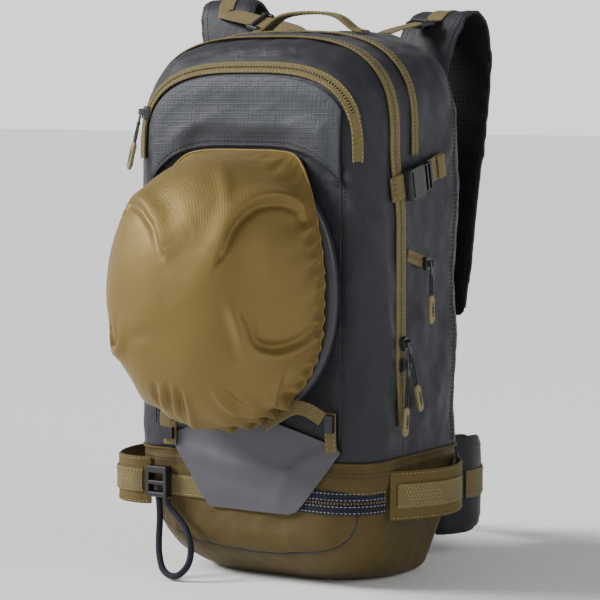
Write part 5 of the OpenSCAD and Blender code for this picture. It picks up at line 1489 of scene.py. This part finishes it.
def lay_on(obj, path, lift):
    """Brings a seam to the face of a finished pad; gives its points and the directions out of the cloth."""
    mesh = shaped(obj)
    tree = BVHTree.FromPolygons([v.co for v in mesh.vertices], [f.vertices for f in mesh.polygons])
    bpy.data.meshes.remove(mesh)
    hits = [tree.find_nearest(Vector(q) * MM) for q in np.asarray(path, float)]
    up = np.array([hit[1] for hit in hits])
    return np.array([hit[0] for hit in hits]) / MM + up * lift, up


def pad_piece(name, path, across, width, thick, body, nodes, inner=1):
    """A padded strap: nylon outside, mesh inside, piping along both edges."""
    f = unit(np.gradient(path, axis=0))
    s = unit(across - f * np.sum(across * f, -1, keepdims=True))
    n = np.cross(f, s)
    t = np.linspace(0, 2 * math.pi, 36, endpoint=False)
    w = np.broadcast_to(width, len(path)) / 2 - 1.5
    # The grid of the swelling rounds the edges off, so the cut is wider by as much
    wide = w + 2.6
    end = np.linspace(0, 1, len(path))
    close = np.sqrt(np.clip(1 - (1 - np.minimum(end, 1 - end) / 0.022).clip(0) ** 2, 0.05, 1))
    flat = spow(np.cos(t), 0.62)[None, :] * (wide * (0.8 + 0.2 * close))[:, None]
    deep = spow(np.sin(t), 0.62)[None, :] * (thick / 2 * 0.62 * close)[:, None]
    rings = path[:, None] + s[:, None] * flat[..., None] + n[:, None] * deep[..., None]
    cut = Cut()
    cut.loft(rings)
    pad = make_piece(name, cut, [CLOTH["strap"], CLOTH["mesh"]], body, nodes)

    def beside(p):
        """Places on the route that lie nearest to points, of every other one."""
        return np.argmin(np.linalg.norm(p[:, None, :] - path[None, ::2, :], axis=2), axis=1) * 2

    def sewn(p):
        """Points near enough to the pad's edges for a seam to hold them."""
        which = beside(p)
        return np.abs(np.sum((p - path[which]) * s[which], -1)) > w[which] - 5

    plump(pad, sewn)
    # Mesh lies on the wearer's side of the pad
    face = pad.data
    middle = np.empty(len(face.polygons) * 3)
    face.polygons.foreach_get("center", middle)
    middle = middle.reshape(-1, 3) / MM
    which = beside(middle)
    under = np.sum((middle - path[which]) * n[which], -1) * inner > 0.8
    face.polygons.foreach_set("material_index", under.astype(int).tolist())
    face.update()
    cut = Cut()
    radius = bpy.context.scene.backpack_sizes.piping / MM / 2
    for sign in (-1, 1):
        edge, _ = lay_on(pad, (path + s * sign * (w + 3)[:, None])[2:-2], 0.0)
        cut.tube(even(edge, len(path)), radius, 8)
    make_piece(name + "_piping", cut, [CLOTH["strap"]], body, ())
    # Rows of stitches inside the piping
    out = path - n * inner * thick
    for side in (-1, 1):
        line, up = lay_on(pad, (out + s * side * (w - 6)[:, None])[3:-3], 0.3)
        seam(body, "dark_thread", line, up)
    return pad


class MakeBack(bpy.types.Operator):
    """Stuff the back pads, the lumbar pad and the hip belt"""

    bl_idname = "backpack.back"
    bl_label = "Back and hip belt"

    def execute(self, context):
        self.cushion("back_pad_right", (9, 84), (166, 438), 14, ["back_pads"])
        self.cushion("back_pad_left", (-84, -9), (166, 438), 14, [])
        self.cushion("lumbar_cushion", (-78, 78), (34, 130), 18, ["lumbar_pad"])
        for name, side in (("right", 1), ("left", -1)):
            body = "hip_belt_" + name
            wing = np.array([(93.8, 118.5, 79), (108, 124.5, 79), (120, 147.5, 79), (118, 175.5, 79),
                             (102, 202.5, 79), (76, 222.5, 79)])
            path = even(spline(wing * [side, 1, 1]), 60)
            width = 108 - 44 * np.linspace(0, 1, 60) ** 2
            pad = pad_piece("hip_wing_pad_" + name, path, np.array([0, 0, float(side)]), width, 14, body,
                            ["hip_wing_" + name], -1)
            web = spline(wing[-1] + [[-0.4, 0.2, 0], [-26, 13, 0], [-56, 20, 0]])
            web = even(web * [side, 1, 1], 30)
            cut = Cut()
            cut.ribbon(web, (0, 0, 1), 38)
            f = unit(np.gradient(path, axis=0))
            away = np.cross(f, [0, 0, 1.0]) * side
            along, up = lay_on(pad, path[16:56] + away[16:56] * 14, 1.1)
            cut.ribbon(along, (0, 0, 1), 30)
            khaki_piece("belt_web_" + name, cut, body, ["belt_webbing_" + name])
            for edge in (-11.5, 11.5):
                seam(body, "thread", along + up * 1.0 + [0, 0, edge], up)
        return {"FINISHED"}

    def cushion(self, name, xs, zs, thick, nodes):
        """A crowned pad on the back with sewn channels across it."""
        u, v = np.meshgrid(np.linspace(-1, 1, 40), np.linspace(-1, 1, 90))
        pull = 1 - 0.035 * (1 - v ** 2)
        push = 1 - 0.02 * (1 - u ** 2)
        x = (xs[0] + xs[1]) / 2 + (xs[1] - xs[0]) / 2 * u * pull
        z = (zs[0] + zs[1]) / 2 + (zs[1] - zs[0]) / 2 * v * push
        corner = (np.abs(u) ** 5 + np.abs(v) ** 9).clip(0, 1)
        crown = (thick - 3) * (1 - corner) ** 0.5
        for line in np.linspace(zs[0], zs[1], 5 if zs[1] - zs[0] > 150 else 3)[1:-1]:
            crown = crown - 0.55 * crown * np.exp(-((z - line) / 5) ** 2)
        front = np.stack([x, BACK + 1.2 + crown, z], -1)
        rear = np.stack([x, np.full(x.shape, BACK + 0.6), z], -1)
        cut = Cut()
        rims = []
        for face in (front, rear):
            cut.grid(face)
            rims.append(np.concatenate([face[0], face[1:, -1], face[-1, -2::-1], face[-2:0:-1, 0]]))
        rim = rims[0]
        cut.grid(np.array(rims), True)
        pad = make_piece(name, cut, [CLOTH["mesh"]], "pack", nodes)
        weld = pad.modifiers.new("weld", "WELD")
        weld.merge_threshold = 0.00005
        cut = Cut()
        cut.tube(even(np.vstack([rim, rim[:1]]), 200)[:-1] + [0, 0.8, 0], 2.0, 8, 0, True)
        make_piece(name + "_binding", cut, [CLOTH["strap"]], "pack", ())


class MakePulls(bpy.types.Operator):
    """Tie the cord pulls with their moulded grips to the zip sliders"""

    bl_idname = "backpack.pulls"
    bl_label = "Zip pulls"

    def execute(self, context):
        lengths = {"main_pull": ("main_zip_pull", 76, 0), "end_pull": ("end_zip_pull", 72, 0),
                   "pocket_pull": ("pocket_zip_pull", 62, 13), "side_pull": ("side_zip_pull", 62, 0)}
        for joint in frame["joints"]:
            if joint["child"] not in lengths:
                continue
            cad, length, lean = lengths[joint["child"]]
            eye = np.array(joint["pos_m"], float) / MM
            y = -unit(joint["axis"])
            turn = math.atan2(-y[0], y[1])
            out = np.array([1.0, 0, 0])
            if joint["child"] == "pocket_pull":
                lean = math.radians(lean)
                out = np.array([math.cos(lean) * math.cos(turn), math.cos(lean) * math.sin(turn),
                                math.sin(lean)])
            up = np.cross(out, y)
            axes = np.array([out, y, up])
            cut = Cut()
            # Metal tongue through the slider's eye
            a = np.linspace(0, 2 * math.pi, 20)[:-1]
            ring = np.stack([0 * a, 2.0 * np.cos(a), 2.0 * np.sin(a)], 1)
            cut.tube(ring @ axes + eye, 0.85, 8, 0, True)
            cut.block(eye - up * 7.4, (1.0, 1.7, 5.2), 5, 9, 20, 0, axes)
            cut.block(eye - up * 12.8, (1.6, 2.7, 1.7), 4, 9, 20, 1, axes)
            # Two cords into the grip, slightly bowed
            k = np.linspace(0, 1, 20)[:, None]
            for side in (-1, 1):
                cord = eye - up * (12.5 + (length - 38) * k) + y * side * (1.4 + 0.9 * np.sin(math.pi * k))
                cut.tube(cord, 1.1, 8, 1)
            # Moulded grip with a waist and finger ribs
            z = np.linspace(-length, 30 - length, 40)
            q = (z + length) / 30
            waist = 1 - 0.12 * np.sin(math.pi * q) ** 2
            size = np.sqrt(np.clip(1 - np.abs(2 * q - 1) ** 6, 0.02, 1)) * waist
            rib = 0.35 * (np.sin((q - 0.16) / 0.68 * 9 * math.pi) > 0) * ((q > 0.16) & (q < 0.84))
            t = np.linspace(0, 2 * math.pi, 28, endpoint=False)
            ring = np.stack([np.outer(2.35 * size + rib, spow(np.cos(t), 0.6)),
                             np.outer(5.0 * size, spow(np.sin(t), 0.6)), np.repeat(z[:, None], 28, 1)], -1)
            cut.loft(ring @ axes + eye, 2)
            for face in (-1, 1):
                groove = eye - up * (length - 15) + out * face * 2.1
                cut.block(groove, (0.5, 1.7, 7.5), 3, 9, 20, 1, axes)
            make_piece(cad.replace("zip_pull", "cord_pull"), cut,
                       [CLOTH["metal"], CLOTH["cord"], CLOTH["rubber"]], joint["child"], [cad],
                       50)
        return {"FINISHED"}


class MakeAirbag(bpy.types.Operator):
    """Fold the airbag and lay the hose and the trigger cable"""

    bl_idname = "backpack.airbag"
    bl_label = "Airbag"

    def execute(self, context):
        rings = []
        for y, into in zip(np.interp(np.linspace(0, 5, 56), range(6), [-18, -8, 10, 30, 50, 81]),
                           np.interp(np.linspace(0, 5, 56), range(6), [16, 11, 10, 10, 11, 16])):
            over = arch(y, -into, 442, 160)
            over[:, 2] = np.maximum(over[:, 2], 442)
            under = np.linspace(over[-1], over[0], 42)[1:-1]
            rings.append(np.vstack([over, under]))
        rings = np.array(rings)
        away = outward(rings, True, (0, 30, 490))
        pleat = 2.4 * np.abs(np.sin(rings[..., 1] / 5.2 + 0.5 * np.sin(rings[..., 0] / 23))) - 2.4
        rings = rings + away * (pleat + ripple(rings, 40, 71) - 0.5)[..., None]
        cut = Cut()
        cut.loft(rings)
        make_piece("airbag_folded_cloth", cut, [CLOTH["airbag"]], "pack", ["folded_airbag"],
                   60)
        # Ribbed hose up into the bag
        z = np.linspace(392.3, 440.7, 70)
        t = np.linspace(0, 2 * math.pi, 32, endpoint=False)
        r = 11.2 + 0.8 * np.sin(z * 2 * math.pi / 5)
        hose = np.stack([-80 + np.outer(r, np.cos(t)), 60 + np.outer(r, np.sin(t)),
                         np.repeat(z[:, None], 32, 1)], -1)
        cut = Cut()
        cut.loft(hose)
        make_piece("ribbed_hose", cut, [CLOTH["hose"]], "pack", ["inflation_hose"])
        socket = np.array([-115, 160.6, 400.0])
        route = spline([(-80, 30, 399), (-94, 38, 419), (-103, 58, 425), (-103, 86, 430), (-101, 108, 434),
                        (-93, 113, 445), (-90, 113.5, 471), (-112, 115, 509), (-150, 116, 536),
                        (-168, 120, 564), (-177, 132, 593), (-180, 150, 602), (-178, 167, 587),
                        (-168, 175, 549), (-148, 174, 499), (-126, 165, 445), socket + [0, 4, 17]], 8)
        cut = Cut()
        cut.tube(route, 2.0, 10)
        make_piece("cable_sheath_run", cut, [CLOTH["hose"]], "pack", ["trigger_cable"])
        return {"FINISHED"}


class MakeFittings(bpy.types.Operator):
    """Finish the hard fittings that keep their solid's shape"""

    bl_idname = "backpack.fittings"
    bl_label = "Fittings"

    def execute(self, context):
        finish = {
            "frame_sheet": ("sheet", 0.4), "frame_stays": ("alloy", 0.4), "strap_locks": ("plastic", 0.7),
            "compression_females": ("plastic", 0.9), "compression_male_right": ("plastic", 0.7),
            "compression_male_left": ("plastic", 0.7), "axe_buckle": ("plastic", 0.9),
            "fixed_sliders": ("metal", 0.4), "main_zip_slider": ("metal", 0.4),
            "pocket_zip_slider": ("metal", 0.4), "sling_hooks": ("hook", 0.5),
            "inflator_valve": ("alloy", 0.8),
            "canister_cradle": ("plastic", 0.6), "trigger_socket": ("plastic", 1.0),
            "trigger_handle": ("trigger", 0.6), "firing_lever": ("steel", 0.4),
            "gas_canister": ("canister", 0.0),
            "sternum_female": ("plastic", 0.9), "sternum_male": ("plastic", 0.7),
            "belt_buckle_female": ("plastic", 0.9), "belt_buckle_male": ("plastic", 0.7),
        }
        for name, (cloth, edge) in finish.items():
            obj = frame["nodes"][name]
            obj.data.materials.clear()
            obj.data.materials.append(CLOTH[cloth])
            weld = obj.modifiers.new("weld", "WELD")
            weld.merge_threshold = 0.00002
            if edge:
                bevel = obj.modifiers.new("edges", "BEVEL")
                bevel.width, bevel.segments, bevel.limit_method = edge * MM, 2, "ANGLE"
                bevel.angle_limit = math.radians(40)
                bevel.harden_normals = True
        return {"FINISHED"}


def repeat_tree():
    """Geometry nodes that set a small rounded bead at even spaces along edges, lying along them."""
    tree = bpy.data.node_groups.new("beads_along_seams", "GeometryNodeTree")
    face = tree.interface
    face.new_socket("Geometry", in_out="INPUT", socket_type="NodeSocketGeometry")
    for name in ("Spacing", "Length", "Width", "Height"):
        face.new_socket(name, in_out="INPUT", socket_type="NodeSocketFloat")
    face.new_socket("Seed", in_out="INPUT", socket_type="NodeSocketInt")
    face.new_socket("Finish", in_out="INPUT", socket_type="NodeSocketMaterial")
    face.new_socket("Geometry", in_out="OUTPUT", socket_type="NodeSocketGeometry")
    start = node(tree, "NodeGroupInput")
    take = start.outputs
    curve = node(tree, "GeometryNodeMeshToCurve", {"Mesh": take["Geometry"]})
    points = node(tree, "GeometryNodeResampleCurve", {"Curve": curve.outputs[0], "Length": take["Spacing"]},
                  mode="LENGTH")
    up = node(tree, "GeometryNodeInputNamedAttribute", {"Name": "up"}, data_type="FLOAT_VECTOR")
    way = node(tree, "GeometryNodeInputTangent")
    along = node(tree, "FunctionNodeAlignRotationToVector", {"Vector": way.outputs[0]}, axis="X")
    stand = node(tree, "FunctionNodeAlignRotationToVector", {
        "Rotation": along.outputs[0], "Vector": up.outputs[0]}, axis="Z", pivot_axis="X")
    bead = node(tree, "GeometryNodeMeshUVSphere", {"Segments": 8, "Rings": 5, "Radius": 0.5})
    size = node(tree, "ShaderNodeCombineXYZ", {0: take["Length"], 1: take["Width"], 2: take["Height"]})
    vary = node(tree, "FunctionNodeRandomValue", {2: 0.9, 3: 1.1, "Seed": take["Seed"]}, data_type="FLOAT")
    scale = node(tree, "ShaderNodeVectorMath", {0: size.outputs[0], "Scale": vary.outputs[1]},
                 operation="SCALE")
    set_out = node(tree, "GeometryNodeInstanceOnPoints", {
        "Points": points.outputs[0], "Instance": bead.outputs["Mesh"], "Rotation": stand.outputs[0],
        "Scale": scale.outputs[0]})
    real = node(tree, "GeometryNodeRealizeInstances", {"Geometry": set_out.outputs[0]})
    paint = node(tree, "GeometryNodeSetMaterial", {"Geometry": real.outputs[0], "Material": take["Finish"]})
    node(tree, "NodeGroupOutput", {0: paint.outputs[0]})
    return tree


class SewSeams(bpy.types.Operator):
    """Sew all stitch rows and set the zip coils with geometry nodes"""

    bl_idname = "backpack.seams"
    bl_label = "Stitches and zip coils"

    def execute(self, context):
        sizes = context.scene.backpack_sizes
        for body, cut in sorted(LINES.items()):
            make_piece("seam_lines_" + body, cut, [CLOTH["dark_thread"]], body)
        tree = repeat_tree()
        for (body, thread), rows in sorted(SEAMS.items()):
            self.run(tree, "stitches_" + thread + "_" + body, body, rows, CLOTH[thread],
                     (sizes.stitch, sizes.stitch * 0.68) + STITCH_SIZE, 5)
        for body, rows in sorted(COILS.items()):
            self.run(tree, "zip_coil_" + body, body, rows, CLOTH["coil"],
                     (sizes.tooth, sizes.tooth * 0.62) + TOOTH_SIZE, 9)
        return {"FINISHED"}

    def run(self, tree, name, body, rows, cloth, size, seed):
        """Beads along one body's rows, as a plain mesh."""
        points, ups, edges = [], [], []
        for path, up in rows:
            first = len(points)
            points += (np.asarray(path) * MM).tolist()
            ups += np.broadcast_to(up, np.shape(path)).tolist()
            edges += [(i, i + 1) for i in range(first, len(points) - 1)]
        mesh = bpy.data.meshes.new(name)
        mesh.from_pydata(points, edges, [])
        mesh.attributes.new("up", "FLOAT_VECTOR", "POINT").data.foreach_set("vector", np.array(ups).ravel())
        obj = bpy.data.objects.new(name, mesh)
        bpy.context.scene.collection.objects.link(obj)
        beads = obj.modifiers.new("beads", "NODES")
        beads.node_group = tree
        values = dict(zip(("Spacing", "Length", "Width", "Height"), size), Seed=seed, Finish=cloth)
        for item in tree.interface.items_tree:
            if item.in_out == "INPUT" and item.name in values:
                beads[item.identifier] = values[item.name]
        plain = shaped(obj)
        if not plain.polygons:
            raise RuntimeError(name + " has no beads")
        obj.modifiers.remove(beads)
        obj.data = plain
        plain.polygons.foreach_set("use_smooth", [True] * len(plain.polygons))
        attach(obj, body)


class BackpackPanel(bpy.types.Panel):
    """Sizes, colours and makers of the backpack"""

    bl_idname = "VIEW3D_PT_backpack"
    bl_label = "Avalanche airbag backpack"
    bl_space_type = "VIEW_3D"
    bl_region_type = "UI"
    bl_category = "Backpack"

    def draw(self, context):
        for group in (context.scene.backpack_sizes, context.scene.backpack_colours):
            for key in group.__annotations__:
                self.layout.prop(group, key)
        for maker in OPERATORS:
            self.layout.operator(maker.bl_idname)


OPERATORS = (MakeStage, MakeAxeLoop, MakeBoot, MakeBody, MakeZips, MakeFrontPocket, MakeSling, MakeStraps,
             MakeBack, MakePulls, MakeAirbag, MakeFittings, SewSeams)
CLASSES = (BackpackColours, BackpackSizes) + OPERATORS + (BackpackPanel,)


def register():
    for item in CLASSES:
        bpy.utils.register_class(item)
    bpy.types.Scene.backpack_colours = PointerProperty(type=BackpackColours)
    bpy.types.Scene.backpack_sizes = PointerProperty(type=BackpackSizes)


def unregister():
    del bpy.types.Scene.backpack_sizes
    del bpy.types.Scene.backpack_colours
    for item in reversed(CLASSES):
        bpy.utils.unregister_class(item)


def main():
    register()
    CLOTH.update(make_finishes())
    for maker in OPERATORS:
        group, name = maker.bl_idname.split(".")
        getattr(getattr(bpy.ops, group), name)()


if __name__ == "__main__":
    main()
